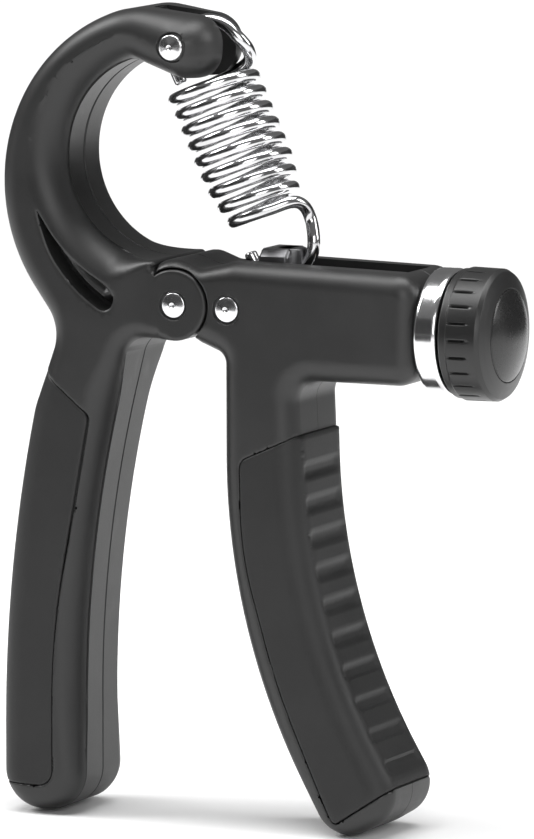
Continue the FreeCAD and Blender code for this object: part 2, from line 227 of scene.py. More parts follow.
@dataclass(frozen=True)
class Moulded:
    """Black moulded plastic or rubber with a fine spark-eroded grain.

    Attributes:
        name: the material's name.
        dark: base colour in the hollows of the tone.
        light: base colour where the surface is a little greyed.
        gloss: middle roughness.
        grain: size of the grain in millimetres.
        relief: height of the grain in millimetres.
        specular: strength of the reflection off the surface.
    """

    name: str
    dark: float
    light: float
    gloss: float
    grain: float
    relief: float
    specular: float = 0.5

    def build(self) -> bpy.types.Material:
        """Makes the material: cell grain for the bump, slow noise for tone and rub marks."""
        book = Book(self.name)
        where = book.place()
        fine = book.noise(where, 1000.0 / self.grain, 2.0, 0.6)
        slow = book.noise(where, 55.0, 4.0, 0.6)
        rubbed = book.noise(book.place((1.0, 1.0, 0.35)), 240.0, 5.0, 0.65)
        tone = (slow.ramp(0.35, 0.7) * 0.7 + fine.ramp(0.3, 0.75) * 0.3).clamp()
        rough = self.gloss + (fine - 0.5) * 0.12 + (slow - 0.5) * 0.16
        rough = rough - rubbed.ramp(0.55, 0.75) * 0.06
        return book.surface(
            {
                "Base Color": book.mix(tone, (self.dark,) * 3, (self.light,) * 3),
                "Roughness": rough.clamp(),
                "Specular IOR Level": self.specular,
                "Normal": book.bump(fine, self.relief / 1000.0),
            }
        )


@dataclass(frozen=True)
class Plated:
    """Bright or brushed metal with faint drawing marks.

    Attributes:
        name: the material's name.
        tint: base colour.
        gloss: middle roughness.
        marks: strength of the marks in the roughness.
        stretch: scale of the marks along X, Y and Z.
    """

    name: str
    tint: Triple
    gloss: float
    marks: float = 0.08
    stretch: Triple = (1.0, 1.0, 1.0)

    def build(self) -> bpy.types.Material:
        """Makes the material: streaks for the roughness and a slight stain for the colour."""
        book = Book(self.name)
        streak = book.noise(book.place(self.stretch), 900.0, 4.0, 0.6)
        stain = book.noise(book.place(), 120.0, 3.0, 0.55)
        dull = tuple(c * 0.8 for c in self.tint)
        rough = self.gloss + (streak - 0.5) * self.marks + stain.ramp(0.5, 0.8) * self.marks * 0.5
        return book.surface(
            {
                "Base Color": book.mix(stain.ramp(0.4, 0.75), self.tint, dull),
                "Metallic": 1.0,
                "Roughness": rough.clamp(),
                "Normal": book.bump(streak, 0.000004),
            }
        )


FINISHES = {
    "shell": Moulded("shell_nylon", 0.012, 0.018, 0.42, 0.32, 0.012),
    "rubber": Moulded("grip_rubber", 0.011, 0.016, 0.52, 0.45, 0.016, 0.4),
    "knob": Moulded("knob_plastic", 0.011, 0.016, 0.38, 0.36, 0.008),
    "cap": Moulded("cap_plastic", 0.011, 0.015, 0.27, 0.5, 0.004),
    "washer": Moulded("washer_plastic", 0.55, 0.62, 0.45, 0.5, 0.005),
    "spring": Plated("spring_plating", (0.68, 0.68, 0.69), 0.13, 0.06),
    "rivet": Plated("rivet_plating", (0.76, 0.76, 0.77), 0.18, 0.06),
    "ring": Plated("ring_plating", (0.85, 0.85, 0.86), 0.15, 0.10, (6.0, 0.5, 0.5)),
    "plate": Plated("plate_zinc", (0.17, 0.17, 0.175), 0.36, 0.15, (1.0, 6.0, 6.0)),
    "screw": Plated("screw_zinc", (0.50, 0.50, 0.51), 0.33, 0.15),
    "brass": Plated("bush_brass", (0.72, 0.54, 0.27), 0.30, 0.12),
}


# ---- outlines and distances


def corner_arc(
    before: Array, here: Array, after: Array, r: float, parts: Callable[[float], int]
) -> Array:
    """Arc that touches both sides of a corner.

    Args:
        before: the corner before it.
        here: the corner.
        after: the corner after it.
        r: radius of the arc.
        parts: steps of the arc for the angle that it turns by.

    Returns:
        The arc's points, or the corner alone where its sides are in line.
    """
    a, b = before - here, after - here
    a, b = a / np.hypot(*a), b / np.hypot(*b)
    half = math.acos(float(np.clip(a @ b, -1, 1))) / 2
    if half > math.pi / 2 - STRAIGHT:
        return here[None]
    centre = here + (a + b) / np.hypot(*(a + b)) * (r / math.sin(half))
    reach = r / math.tan(half)
    first, last = here + a * reach - centre, here + b * reach - centre
    turn = math.atan2(first[0] * last[1] - first[1] * last[0], float(first @ last))
    angle = math.atan2(first[1], first[0]) + np.linspace(0, turn, parts(abs(turn)) + 1)
    return centre + r * np.stack([np.cos(angle), np.sin(angle)], -1)


def rounded(corners: Sequence[Sequence[float]], step: float = 0.6) -> tuple[Array, Array]:
    """Closed line whose corners are arcs, with the corners' traits carried along it.

    Each corner (x, z, r, ...) becomes the arc of radius r that touches both its sides. What
    stands after r are traits: they hold over the arc and change evenly along the straight
    run to the next one.

    Args:
        corners: x, z, radius and traits of each corner, anticlockwise.
        step: longest gap between points.

    Returns:
        Points as rows of x, z, and the traits of each point.
    """
    spots = np.array([c[:2] for c in corners], float)
    traits = np.array([c[3:] for c in corners], float).reshape(len(corners), -1)
    count = len(corners)
    arcs: list[Array] = []
    for i, corner in enumerate(corners):
        r = corner[2]
        arcs.append(
            corner_arc(
                spots[i - 1],
                spots[i],
                spots[(i + 1) % count],
                r,
                lambda turn: max(4, math.ceil(turn * r / step), math.ceil(turn / FINE_TURN)),
            )
        )
    points: list[Array] = []
    kept: list[Array] = []
    for i, arc in enumerate(arcs):
        points.append(arc)
        kept.append(np.repeat(traits[i : i + 1], len(arc), 0))
        nxt = arcs[(i + 1) % count][0]
        runs = max(1, math.ceil(float(np.hypot(*(nxt - arc[-1]))) / step))
        part = np.arange(1, runs)[:, None] / runs
        points.append(arc[-1] + (nxt - arc[-1]) * part)
        kept.append(traits[i] + (traits[(i + 1) % count] - traits[i]) * part)
    line, held = np.concatenate(points), np.concatenate(kept)
    keep = np.hypot(*(line - np.roll(line, 1, 0)).T) > 1e-3
    return line[keep], held[keep]


def eased(line: Array, traits: Array, held: Array, reach: float = 5.0) -> Array:
    """Traits that change slowly along a closed line.

    Args:
        line: the line's points.
        traits: one row for each point.
        held: points that keep their traits and don't count for the others.
        reach: length on both sides over which the mean is taken.

    Returns:
        The new traits.
    """
    size = np.hypot(*(np.roll(line, -1, 0) - line).T)
    at = np.cumsum(size) - size
    gap = np.abs(at[:, None] - at[None])
    gap = np.minimum(gap, size.sum() - gap)
    weight = np.clip(1 - gap / reach, 0, None) * (size + np.roll(size, 1))[None] * ~held[None]
    mean = weight @ traits / np.maximum(weight.sum(1), 1e-9)[:, None]
    return np.where(held[:, None], traits, mean)


def cubic(a: Array, b: Array, u: Array, v: Array, parts: int) -> Array:
    """Cubic curves from the rows of a to the rows of b, without their last points.

    Args:
        a: starts.
        b: ends.
        u: speeds at the starts.
        v: speeds at the ends.
        parts: points of each curve.

    Returns:
        All points in one list.
    """
    s = (np.arange(parts) / parts)[None, :, None]
    line = (2 * s**3 - 3 * s**2 + 1) * a[:, None] + (s**3 - 2 * s**2 + s) * u[:, None]
    line = line + (3 * s**2 - 2 * s**3) * b[:, None] + (s**3 - s**2) * v[:, None]
    return line.reshape(-1, a.shape[1])


def flowing(spots: Sequence[Pair], parts: int = SCOOP_PARTS) -> Array:
    """Closed smooth line through spots, with parts points from each to the next.

    Between two spots it is the cubic curve whose end speeds are half the way between the
    neighbours of each spot.
    """
    p = np.array(spots, float)
    speed = (np.roll(p, -1, 0) - np.roll(p, 1, 0)) / 2
    return cubic(p, np.roll(p, -1, 0), speed, np.roll(speed, -1, 0), parts)


def left_normals(line: Array, closed: bool = True) -> Array:
    """Unit vectors to the left of the direction of travel: inwards, on an anticlockwise line."""
    way = np.roll(line, -1, 0) - np.roll(line, 1, 0) if closed else np.gradient(line, axis=0)
    way = way / np.hypot(way[:, 0], way[:, 1])[:, None]
    return np.stack([-way[:, 1], way[:, 0]], -1)


def nearest(points: Array, line: Array, closed: bool = True) -> tuple[Array, Array]:
    """Distance to a line, and the place on it as a fractional vertex number.

    For each segment the foot of the perpendicular is held to the segment's ends, and the
    closest foot wins.
    """
    a = line if closed else line[:-1]
    run = (np.roll(line, -1, 0) if closed else line[1:]) - a
    size = (run**2).sum(1) + 1e-12
    dist = np.empty(len(points))
    spot = np.empty(len(points))
    for start in range(0, len(points), 1500):
        rel = points[start : start + 1500, None] - a[None]
        t = np.clip((rel * run).sum(2) / size, 0, 1)
        gap = np.hypot(rel[..., 0] - t * run[:, 0], rel[..., 1] - t * run[:, 1])
        best = gap.argmin(1)
        rows = np.arange(len(best))
        dist[start : start + 1500] = gap[rows, best]
        spot[start : start + 1500] = best + t[rows, best]
    return dist, spot


def inside(points: Array, line: Array) -> Array:
    """Whether points lie in a closed line, by counting the crossings of a ray along +X."""
    a, b = line, np.roll(line, -1, 0)
    rise = np.where(np.abs(b[:, 1] - a[:, 1]) < 1e-12, 1e-12, b[:, 1] - a[:, 1])
    out = np.zeros(len(points), bool)
    for start in range(0, len(points), 1500):
        p = points[start : start + 1500, None]
        span = (a[:, 1] > p[..., 1]) != (b[:, 1] > p[..., 1])
        cross = a[:, 0] + (p[..., 1] - a[:, 1]) * (b[:, 0] - a[:, 0]) / rise
        out[start : start + 1500] = (span & (p[..., 0] < cross)).sum(1) % 2 == 1
    return out


def pick(values: Array, spot: Array) -> Array:
    """Values of a closed line's vertices, read between the vertices."""
    low = np.floor(spot).astype(int)
    part = spot - low
    part = part if values.ndim == 1 else part[:, None]
    return values[low % len(values)] * (1 - part) + values[(low + 1) % len(values)] * part


def smooth(low: float, high: float, x: Array) -> Array:
    """0 below low, 1 above high, and a smooth step between."""
    t = np.clip((x - low) / (high - low), 0, 1)
    return t * t * (3 - 2 * t)


def drop(d: Array, a: Number, b: Number, power: Number = 0.5) -> Array:
    """Depth of an edge a wide and b deep at distance d from the rim.

    With t the share of the width still to go, the depth is b (1 - (1 - t t) ** power): a
    quarter ellipse at power 0.5, and a crease against the wall above that.
    """
    t = np.clip((a - d) / a, 0, 1)
    return b * (1 - np.clip(1 - t * t, 0, 1) ** power)


def circle(centre: Pair, r: float, step: float = 0.4) -> Array:
    """Points on a circle."""
    parts = max(16, math.ceil(2 * math.pi * r / step))
    angle = np.arange(parts) * (2 * math.pi / parts)
    return np.array(centre) + r * np.stack([np.cos(angle), np.sin(angle)], -1)


def straight(a: Pair, b: Pair, step: float = 0.4) -> Array:
    """Points from a to b."""
    start, end = np.array(a, float), np.array(b, float)
    parts = max(2, math.ceil(float(np.hypot(*(end - start))) / step))
    return start + (end - start) * np.linspace(0, 1, parts)[:, None]


def with_points_at(line: Array, traits: Array, spots: Sequence[Pair]) -> tuple[Array, Array]:
    """Adds a close pair of vertices to a closed line at the places nearest to spots."""
    for spot in spots:
        _, at = nearest(np.array([spot]), line)
        low = int(at[0])
        a, b = line[low], line[(low + 1) % len(line)]
        part = at[0] - low
        size = float(np.hypot(*(b - a)))
        shares = np.array([part - BESIDE / size, part + BESIDE / size])
        shares = shares[(shares > 0.02) & (shares < 0.98)][:, None]
        line = np.insert(line, low + 1, a + (b - a) * shares, 0)
        held = traits[low] + (traits[(low + 1) % len(traits)] - traits[low]) * shares
        traits = np.insert(traits, low + 1, held, 0)
    return line, traits


def share(line: Array, region: Array) -> tuple[Array, Array]:
    """Splits the boundary of the overlap of two anticlockwise closed lines.

    Args:
        line: outline of the lever.
        region: outline of the region that the pad covers.

    Returns:
        The run of line inside region, and the run of region inside line, which starts where
        the first one ends. Both hold the two crossing points.
    """
    runs = []
    for mine, other in ((line, region), (region, line)):
        held = inside(mine, other)
        turned = np.roll(np.arange(len(mine)), -int(np.argmax(held & ~np.roll(held, 1))))
        runs.append(mine[turned][held[turned]])
    edge, seam = runs
    ends = []
    for at in (-1, 0):
        here = edge[at]
        _, spot = nearest(here[None], region)
        low = int(spot[0])
        part = spot[0] - low
        ends.append(region[low] * (1 - part) + region[(low + 1) % len(region)] * part)
    way_out = edge[-1] - edge[-2]
    way_in = edge[0] - edge[1]
    last = _meet(edge[-1], way_out, seam[0], seam[0] - seam[1], ends[0])
    first = _meet(edge[0], way_in, seam[-1], seam[-1] - seam[-2], ends[1])
    edge = np.concatenate([first[None], edge, last[None]])
    seam = np.concatenate([last[None], seam, first[None]])
    return edge, seam


def _meet(p: Array, u: Array, q: Array, v: Array, spare: Array) -> Array:
    """Where the line from p along u meets the line from q along v."""
    det = u[0] * v[1] - u[1] * v[0]
    if abs(det) < 1e-9:
        return spare
    t = ((q[0] - p[0]) * v[1] - (q[1] - p[1]) * v[0]) / det
    return p + u * t


# ---- meshes


def to_frame(points: Array) -> Array:
    """From millimetres about the pivot to metres in the frame."""
    return (points + SHIFT) / 1000.0


def linked(name: str, data: bpy.types.ID) -> bpy.types.Object:
    """A new object in the scene."""
    made = bpy.data.objects.new(name, data)
    bpy.context.scene.collection.objects.link(made)
    return made


_MADE: dict[str, bpy.types.Material] = {}


def material(finish: str) -> bpy.types.Material:
    """The material of a finish, made once."""
    if finish not in _MADE:
        _MADE[finish] = FINISHES[finish].build()
    return _MADE[finish]


@dataclass
class Piece:
    """A finished surface on its way into the scene.

    Attributes:
        name: the piece's name.
        points: vertices in millimetres about the pivot.
        faces: vertex numbers of each face, outwards.
        finish: key of FINISHES.
        slot: the name of a material slot; not used.
        replaced: CAD nodes that it stands for.
        sharp: angle in degrees past which an edge is drawn sharp.
    """

    name: str
    points: Array
    faces: list
    finish: str
    slot: str
    replaced: tuple[str, ...] = ()
    sharp: float = 38.0

    def place(self, body: Optional[str]) -> bpy.types.Object:
        """Makes the object and lets it ride on a body."""
        mesh = bpy.data.meshes.new(self.name)
        mesh.from_pydata(to_frame(self.points).tolist(), [], self.faces)
        mesh.validate()
        mesh.polygons.foreach_set("use_smooth", np.ones(len(mesh.polygons), bool))
        mesh.set_sharp_from_angle(angle=math.radians(self.sharp))
        mesh.update()
        piece = linked(self.name, mesh)
        mesh.materials.append(material(self.finish))
        if body is not None:
            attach(piece, body)
        if self.replaced:
            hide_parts(*self.replaced)
        LOG.info("%s: %d points, %d faces", self.name, len(self.points), len(self.faces))
        return piece


def grid_faces(rows: int, cols: int, closed_rows: bool = False) -> list:
    """Quads of a grid of rows by cols points, closed round the columns."""
    strips = rows if closed_rows else rows - 1
    i, j = np.meshgrid(np.arange(strips), np.arange(cols), indexing="ij")
    n, up = (j + 1) % cols, (i + 1) % rows
    quads = np.stack([i * cols + j, i * cols + n, up * cols + n, up * cols + j], -1)
    return quads.reshape(-1, 4).tolist()


Ripple = Callable[[Array, Array, Array], Array]


def turned(
    profile: Array, parts: int = 96, ripple: Optional[Ripple] = None, closed: bool = False
) -> Surface:
    """Surface of revolution about +X.

    A profile point (x, r) turned by angle t lies at (x, r cos t, r sin t).

    Args:
        profile: rows of x and radius, with the outer side run through along +X. The ends of
            an open profile have radius 0 and close in one point each.
        parts: points round the axis.
        ripple: adds to the radius as a function of x, radius and angle.
        closed: whether the profile is a closed line, as of a ring.

    Returns:
        Points and faces.
    """
    inner = profile if closed else profile[1:-1]
    t = np.repeat(np.arange(parts)[None] * (2 * math.pi / parts), len(inner), 0)
    x = np.repeat(inner[:, :1], parts, 1)
    r = np.repeat(inner[:, 1:], parts, 1)
    if ripple is not None:
        r = r + ripple(x, r, t)
    points = np.stack([x, r * np.cos(t), r * np.sin(t)], -1).reshape(-1, 3)
    faces = grid_faces(len(inner), parts, closed)
    if not closed:
        poles = np.array([[profile[0, 0], 0, 0], [profile[-1, 0], 0, 0]])
        j = np.arange(parts)
        k = (j + 1) % parts
        end = (len(inner) - 1) * parts
        faces += np.stack([np.full(parts, len(points)), k, j], -1).tolist()
        faces += np.stack([np.full(parts, len(points) + 1), end + j, end + k], -1).tolist()
        points = np.concatenate([points, poles])
    return points, faces


def soft_profile(corners: Sequence[Triple], closed: bool = False, step: float = 0.5) -> Array:
    """Profile with rounded corners.

    Args:
        corners: x, radius and rounding of each corner.
        closed: whether the last corner is joined to the first.
        step: about the gap between points on the straight runs.

    Returns:
        Rows of x and radius.
    """
    spots = np.array([c[:2] for c in corners], float)
    out: list[Array] = []
    count = len(corners)
    for i, corner in enumerate(corners):
        r = corner[2]
        if r <= 0 or (not closed and i in (0, count - 1)):
            out.append(spots[i][None])
            continue
        out.append(
            corner_arc(
                spots[i - 1],
                spots[i],
                spots[(i + 1) % count],
                r,
                lambda turn: max(3, math.ceil(turn / COARSE_TURN)),
            )
        )
    line = np.concatenate(out)
    nxt = np.roll(line, -1, 0) if closed else line[1:]
    pieces = []
    for p, q in zip(line, nxt):
        parts = max(1, round(float(np.hypot(*(q - p))) / step))
        pieces.append(p + (q - p) * (np.arange(parts) / parts)[:, None])
    if not closed:
        pieces.append(line[-1:])
    return np.concatenate(pieces)


def triangulate(rim: Array, points: Array, cell: float = 0.16) -> tuple[Array, Array, Array]:
    """Delaunay triangles inside a closed rim.

    Args:
        rim: anticlockwise closed line.
        points: wanted inner points, most wanted first. Later ones that fall in a used cell
            are dropped.
        cell: size of such a cell.

    Returns:
        All points, the triangles, and the number of each rim point.
    """
    _, first = np.unique(np.floor(points / cell).astype(int), axis=0, return_index=True)
    points = points[np.sort(first)]
    gap, _ = nearest(points, rim)
    points = points[inside(points, rim) & (gap > RIM_GAP)]
    every = np.concatenate([rim, points])
    spots = [Vector(p) for p in every.tolist()]
    made, _, faces, source, _, _ = delaunay_2d_cdt(spots, [], [list(range(len(rim)))], 1, 1e-6)
    flat = np.array([v[:] for v in made])
    number = np.full(len(every), -1)
    pairs = np.array([(o, i) for i, origin in enumerate(source) for o in origin])
    number[pairs[:, 0]] = pairs[:, 1]
    tris = np.array(faces)
    p, q, r = (flat[tris[:, k]] for k in range(3))
    area = (q[:, 0] - p[:, 0]) * (r[:, 1] - p[:, 1]) - (q[:, 1] - p[:, 1]) * (r[:, 0] - p[:, 0])
    tris[area < 0] = tris[area < 0][:, ::-1]
    return flat, tris, number[: len(rim)]


def offsets(line: Array, distances: Sequence[float], closed: bool = True) -> Array:
    """Copies of a line moved to its left, without the points where a copy crosses the line."""
    side = left_normals(line, closed)
    out = []
    for d in distances:
        moved = line + side * d
        gap, _ = nearest(moved, line, closed)
        out.append(moved[gap > abs(d) * 0.97 - 0.01])
    return np.concatenate(out)


def hex_grid(line: Array, pitch: float) -> Array:
    """Points of a triangular grid over the box of a line."""
    lo, hi = line.min(0), line.max(0)
    z = np.arange(lo[1], hi[1], pitch * ROW_PITCH)
    gx, gz = np.meshgrid(np.arange(lo[0], hi[0], pitch), z)
    gx = gx + (np.arange(len(z)) % 2)[:, None] * pitch / 2
    return np.stack([gx, gz], -1).reshape(-1, 2)


@dataclass
class Relief:
    """A depth below the face of a lever, and the points that its shape needs.

    Attributes:
        depth: depth in millimetres at rows of x, z.
        points: extra mesh points.
        sides: the sides that have it.
    """

    depth: Callable[[Array], Array]
    points: Array
    sides: tuple[Side, ...] = BOTH


def dish(
    centre: Pair, r: float, depth: float, edge: float, sides: tuple[Side, ...] = BOTH
) -> Relief:
    """Round recess: full depth within r less edge, none past r, and a smooth step between."""

    def deep(p: Array) -> Array:
        """Depth of the dish."""
        gap = np.hypot(p[:, 0] - centre[0], p[:, 1] - centre[1])
        return depth * (1 - smooth(r - edge, r, gap))

    radii = [r + 0.15, *(r - edge * k for k in (0, 0.25, 0.5, 0.75, 1)), r - edge - 0.3]
    rings = [circle(centre, q, 0.35) for q in radii if q > 0.1]
    return Relief(deep, np.concatenate(rings), sides)


def inlay(region: Array, depth: float, lip: float = 0.4) -> Relief:
    """Sunk bed of a pad: full depth inside the region, and a rounded lip outside it."""

    def deep(p: Array) -> Array:
        """Depth of the bed and of its lip."""
        gap, _ = nearest(p, region)
        return np.where(inside(p, region), depth, drop(gap, lip, lip))

    return Relief(deep, offsets(region, [0.06, -0.02, -0.1, -0.2, -0.4]))


@dataclass
class Rim:
    """A line along which the face of a lever rounds down.

    Attributes:
        line: the line's points.
        wide: width of the rounding at each point.
        tall: its depth at each point.
        power: 0.5 for a quarter ellipse, more for a crease against the wall.
        panel: width of the flat step between the wall and the rounding.
        closed: whether the line is closed.
    """

    line: Array
    wide: Array
    tall: Array
    power: Array
    panel: Array
    closed: bool = True

    def depth(self, p: Array) -> Array:
        """Depth of the rounding at rows of x, z."""
        gap, spot = nearest(p, self.line, self.closed)
        if not self.closed:
            spot = np.minimum(spot, len(self.line) - 1.001)
        wide, tall = pick(self.wide, spot), pick(self.tall, spot)
        return drop(gap - pick(self.panel, spot), wide, tall, pick(self.power, spot))


# Distances from a lever's outline: of the top strips of its wall, of the rim of the face's
# mesh, and of the rows of points inside it
WALL_STRIPS = (0.0, 0.01, 0.05)
SHELL_RIM = 0.16
SHELL_ROWS = (
    *(0.30, 0.37, 0.45, 0.6, 0.85, 1.2, 1.7, 2.3),
    *(2.9, 3.5, 4.1, 4.7, 5.3, 6.0, 6.8, 7.6),
)


@dataclass
class HalfShell:
    """One half of a lever: a solid between an outer face and an inner face over one outline.

    The outer face lies the deepest rounding of all rims, and every relief, below the full
    half thickness.

    Attributes:
        line: anticlockwise outline, rows of x, z.
        move: how far the half is set in from its outline at each point, under a pad.
        rims: the roundings of the outer face.
        hollow: inner face's distance from the parting plane at rows of x, z.
        reliefs: what is sunk in the outer face.
        extra: more mesh points, for steps of the inner face.
        seam: depth of the V along the joint of the halves at each point.
        pitch: size of the mesh away from the edges.
        cell: size of the cells that hold one mesh point each.
        thin: least distance between the two faces.
    """

    line: Array
    move: Array
    rims: list[Rim]
    hollow: Callable[[Array], Array]
    reliefs: list[Relief]
    extra: Array
    seam: Array
    pitch: float = 1.0
    cell: float = 0.07
    thin: float = 0.3

    def _cover(self, p: Array) -> tuple[Array, Array]:
        """Distance of the outer face from the parting plane, on the front and on the back."""
        sunk = np.max([rim.depth(p) for rim in self.rims], axis=0)
        front, back = sunk.copy(), sunk.copy()
        for relief in self.reliefs:
            deep = relief.depth(p)
            if Side.FRONT in relief.sides:
                front += deep
            if Side.BACK in relief.sides:
                back += deep
        return HALF - front, HALF - back

    def build(self) -> dict[Side, Surface]:
        """Points and faces of both closed halves."""
        inward = left_normals(self.line)
        rim = self.line + inward * (self.move + SHELL_RIM)[:, None]
        wanted = [self.extra] + [r.points for r in self.reliefs]
        middle = hex_grid(self.line, self.pitch)
        middle = middle[nearest(middle, self.line)[0] > SHELL_ROWS[-1] + 0.4]
        wanted += [offsets(self.line, SHELL_ROWS), middle]
        flat, tris, order = triangulate(rim, np.concatenate(wanted), self.cell)
        tops = self._cover(flat)
        places = [self.line + inward * (self.move + d)[:, None] for d in WALL_STRIPS]
        walls = [self._cover(place) for place in places]
        low = self.hollow(flat)
        out = {}
        for k, side in enumerate(BOTH):
            wall = [w[k] for w in walls]
            out[side] = self._close(flat, tris, order, tops[k], low, places, wall, side)
        return out

    def _close(
        self,
        flat: Array,
        tris: Array,
        order: Array,
        top: Array,
        low: Array,
        places: list[Array],
        walls: list[Array],
        side: Side,
    ) -> Surface:
        """Joins the outer and inner face of one side by strips along the outline."""
        low = np.minimum(low, top - self.thin)
        outer = np.stack([flat[:, 0], top, flat[:, 1]], -1)
        inner = np.stack([flat[:, 0], low, flat[:, 1]], -1)
        foot, crest = low[order], top[order]
        step = self.seam * (foot < 0.5)
        heights = [foot, foot + step] + [np.minimum(w, crest - 0.002) for w in walls]
        inwards = left_normals(self.line)
        sets = [places[0] + inwards * (step * 0.8)[:, None], places[0], *places]
        strips = [np.stack([p[:, 0], h, p[:, 1]], -1) for p, h in zip(sets, heights)]
        points = np.concatenate([outer, inner, *strips])
        count, ring = len(flat), len(self.line)
        loops = [2 * count + ring * k + np.arange(ring) for k in range(len(strips))]
        loops = [count + order, *loops, order]
        faces = tris.tolist() + (tris[:, ::-1] + count).tolist()
        for a, b in zip(loops, loops[1:]):
            faces += np.stack([a, np.roll(a, -1), np.roll(b, -1), b], -1).tolist()
        points = points * np.array([1.0, side.value, 1.0])
        if side is Side.BACK:
            faces = [f[::-1] for f in faces]
        return points, faces


# Distances of the rows of mesh points from a pad's edge and from its seam
EDGE_ROWS = (0.12, 0.3, 0.55, 0.9, 1.3, 1.8, 2.4, 3.1, 4.0, 5.0)
SEAM_ROWS = (0.1, 0.25, 0.45, 0.7, 1.0)


@dataclass
class WrapPad:
    """Rubber pad that wraps the outer side of a handle from the front face to the back face.

    Attributes:
        outline: closed outline of the lever.
        region: closed outline of the region that the pad covers.
        groove: depth of the treads at a length along the pad's edge and a height from the
            middle plane, or None.
        thick: thickness of the rubber.
        wide: width of the edge rounding.
        tall: depth of the edge rounding.
        lip: rounding at the seam.
        pitch: size of the mesh.
        rows: rows of faces round the wall.
        fade: distances from the edge between which the treads fade out on the face.
        skin: distance from the edge over which the inner skin is moved in.
    """

    outline: Array
    region: Array
    groove: Optional[Callable[[Array, Array], Array]] = None
    thick: float = 2.2
    wide: float = 5.0
    tall: float = 4.5
    lip: float = 0.45
    pitch: float = 1.1
    rows: int = 20
    fade: Pair = (0.8, 3.2)
    skin: float = 6.0

    def build(self) -> Surface:
        """Points and faces of the closed pad.

        The face sheet lies drop(d) below the full half thickness at distance d from the
        edge, less the lip and the treads. The wall is the edge line carried straight across,
        sunk by the treads. The inner skin lies one thickness deeper.
        """
        edge, seam = share(self.outline, self.region)
        rim = np.concatenate([edge, seam[1:-1]])
        wanted = [offsets(seam, SEAM_ROWS, False), offsets(edge, EDGE_ROWS, False)]
        wanted.append(hex_grid(rim, self.pitch))
        flat, tris, order = triangulate(rim, np.concatenate(wanted))
        count, ends = len(flat), len(edge)
        gap, spot = nearest(flat, self.outline)
        inward = pick(left_normals(self.outline), spot)
        _, on_edge = nearest(flat, edge, False)
        length = np.concatenate([[0], np.cumsum(np.hypot(*np.diff(edge, axis=0).T))])
        along = np.interp(on_edge, np.arange(len(length)), length)
        to_seam, _ = nearest(flat, seam, False)
        lip = drop(to_seam, self.lip, self.lip)
        turn = np.clip((self.wide - gap) / self.wide, 0, 1)
        rise = np.sqrt(np.clip(1 - turn**2, 0, 1))
        full = HALF - drop(gap, self.wide, self.tall)
        cut = self.groove(along, full) * (1 - smooth(*self.fade, gap)) if self.groove else 0 * gap
        sunk = lip + cut
        top = full - sunk * rise
        place = flat + inward * (sunk * turn)[:, None]
        front = np.stack([place[:, 0], -top, place[:, 1]], -1)
        deep = flat + inward * (self.thick * (1 - smooth(0, self.skin, gap)))[:, None]
        under = np.stack([deep[:, 0], np.full(count, self.thick - HALF), deep[:, 1]], -1)
        mirror = np.array([1.0, -1.0, 1.0])

        rim_edge = order[:ends]
        wall = []
        for k in np.linspace(-1, 1, self.rows + 2)[1:-1]:
            y = k * top[rim_edge]
            base = flat[rim_edge]
            cut = self.groove(along[rim_edge], np.abs(y)) if self.groove else 0 * y
            moved = base + inward[rim_edge] * (lip[rim_edge] + cut)[:, None]
            wall.append(np.stack([moved[:, 0], y, moved[:, 1]], -1))
        points = np.concatenate([front, front * mirror, under, under * mirror, *wall])
        loops = [rim_edge] + [4 * count + ends * k + np.arange(ends) for k in range(self.rows)]
        loops.append(count + rim_edge)
        faces = tris.tolist() + (tris[:, ::-1] + count).tolist()
        faces += (tris[:, ::-1] + 2 * count).tolist() + (tris + 3 * count).tolist()
        for a, b in zip(loops, loops[1:]):
            faces += np.stack([a[:-1], b[:-1], b[1:], a[1:]], -1).tolist()
        a, b = 2 * count + rim_edge, 3 * count + rim_edge
        faces += np.stack([a[:-1], a[1:], b[1:], b[:-1]], -1).tolist()
        s = np.concatenate([order[ends - 1 :], order[:1]])
        u = 2 * count + s
        faces += np.stack([s[:-1], u[:-1], u[1:], s[1:]], -1).tolist()
        s, u = count + s, 3 * count + s
        faces += np.stack([s[:-1], s[1:], u[1:], u[:-1]], -1).tolist()
        for at, flip in ((0, -1), (-1, 1)):
            cap = [int(loop[at]) for loop in loops] + [int(b[at]), int(a[at])]
            faces.append(cap[::flip])
        return points, faces


def swapped(surface: Surface, order: Sequence[int], shift: Triple) -> Surface:
    """A surface with two of its axes swapped, as order says, and then moved by shift."""
    points, faces = surface
    return points[:, order] + np.array(shift), [f[::-1] for f in faces]


def swept(path: Array, radius: Array, reference: Array, parts: int = 20) -> Surface:
    """Round tube along a path.

    Each ring lies in the plane across the path, with its first point in the direction of
    the reference less its share along the path. The ends close in one point each.

    Args:
        path: rows of points.
        radius: radius at each point.
        reference: direction at each point that is never along the path.
        parts: points round the tube.

    Returns:
        Points and faces.
    """
    way = np.gradient(path, axis=0)
    way /= np.linalg.norm(way, axis=1)[:, None]
    side = reference - (reference * way).sum(1)[:, None] * way
    side /= np.linalg.norm(side, axis=1)[:, None]
    other = np.cross(way, side)
    t = np.arange(parts) * (2 * math.pi / parts)
    ring = np.cos(t)[None, :, None] * side[:, None] + np.sin(t)[None, :, None] * other[:, None]
    points = (path[:, None] + radius[:, None, None] * ring).reshape(-1, 3)
    faces = [f[::-1] for f in grid_faces(len(path), parts)]
    faces.append(list(range(parts))[::-1])
    faces.append([(len(path) - 1) * parts + j for j in range(parts)])
    return points, faces


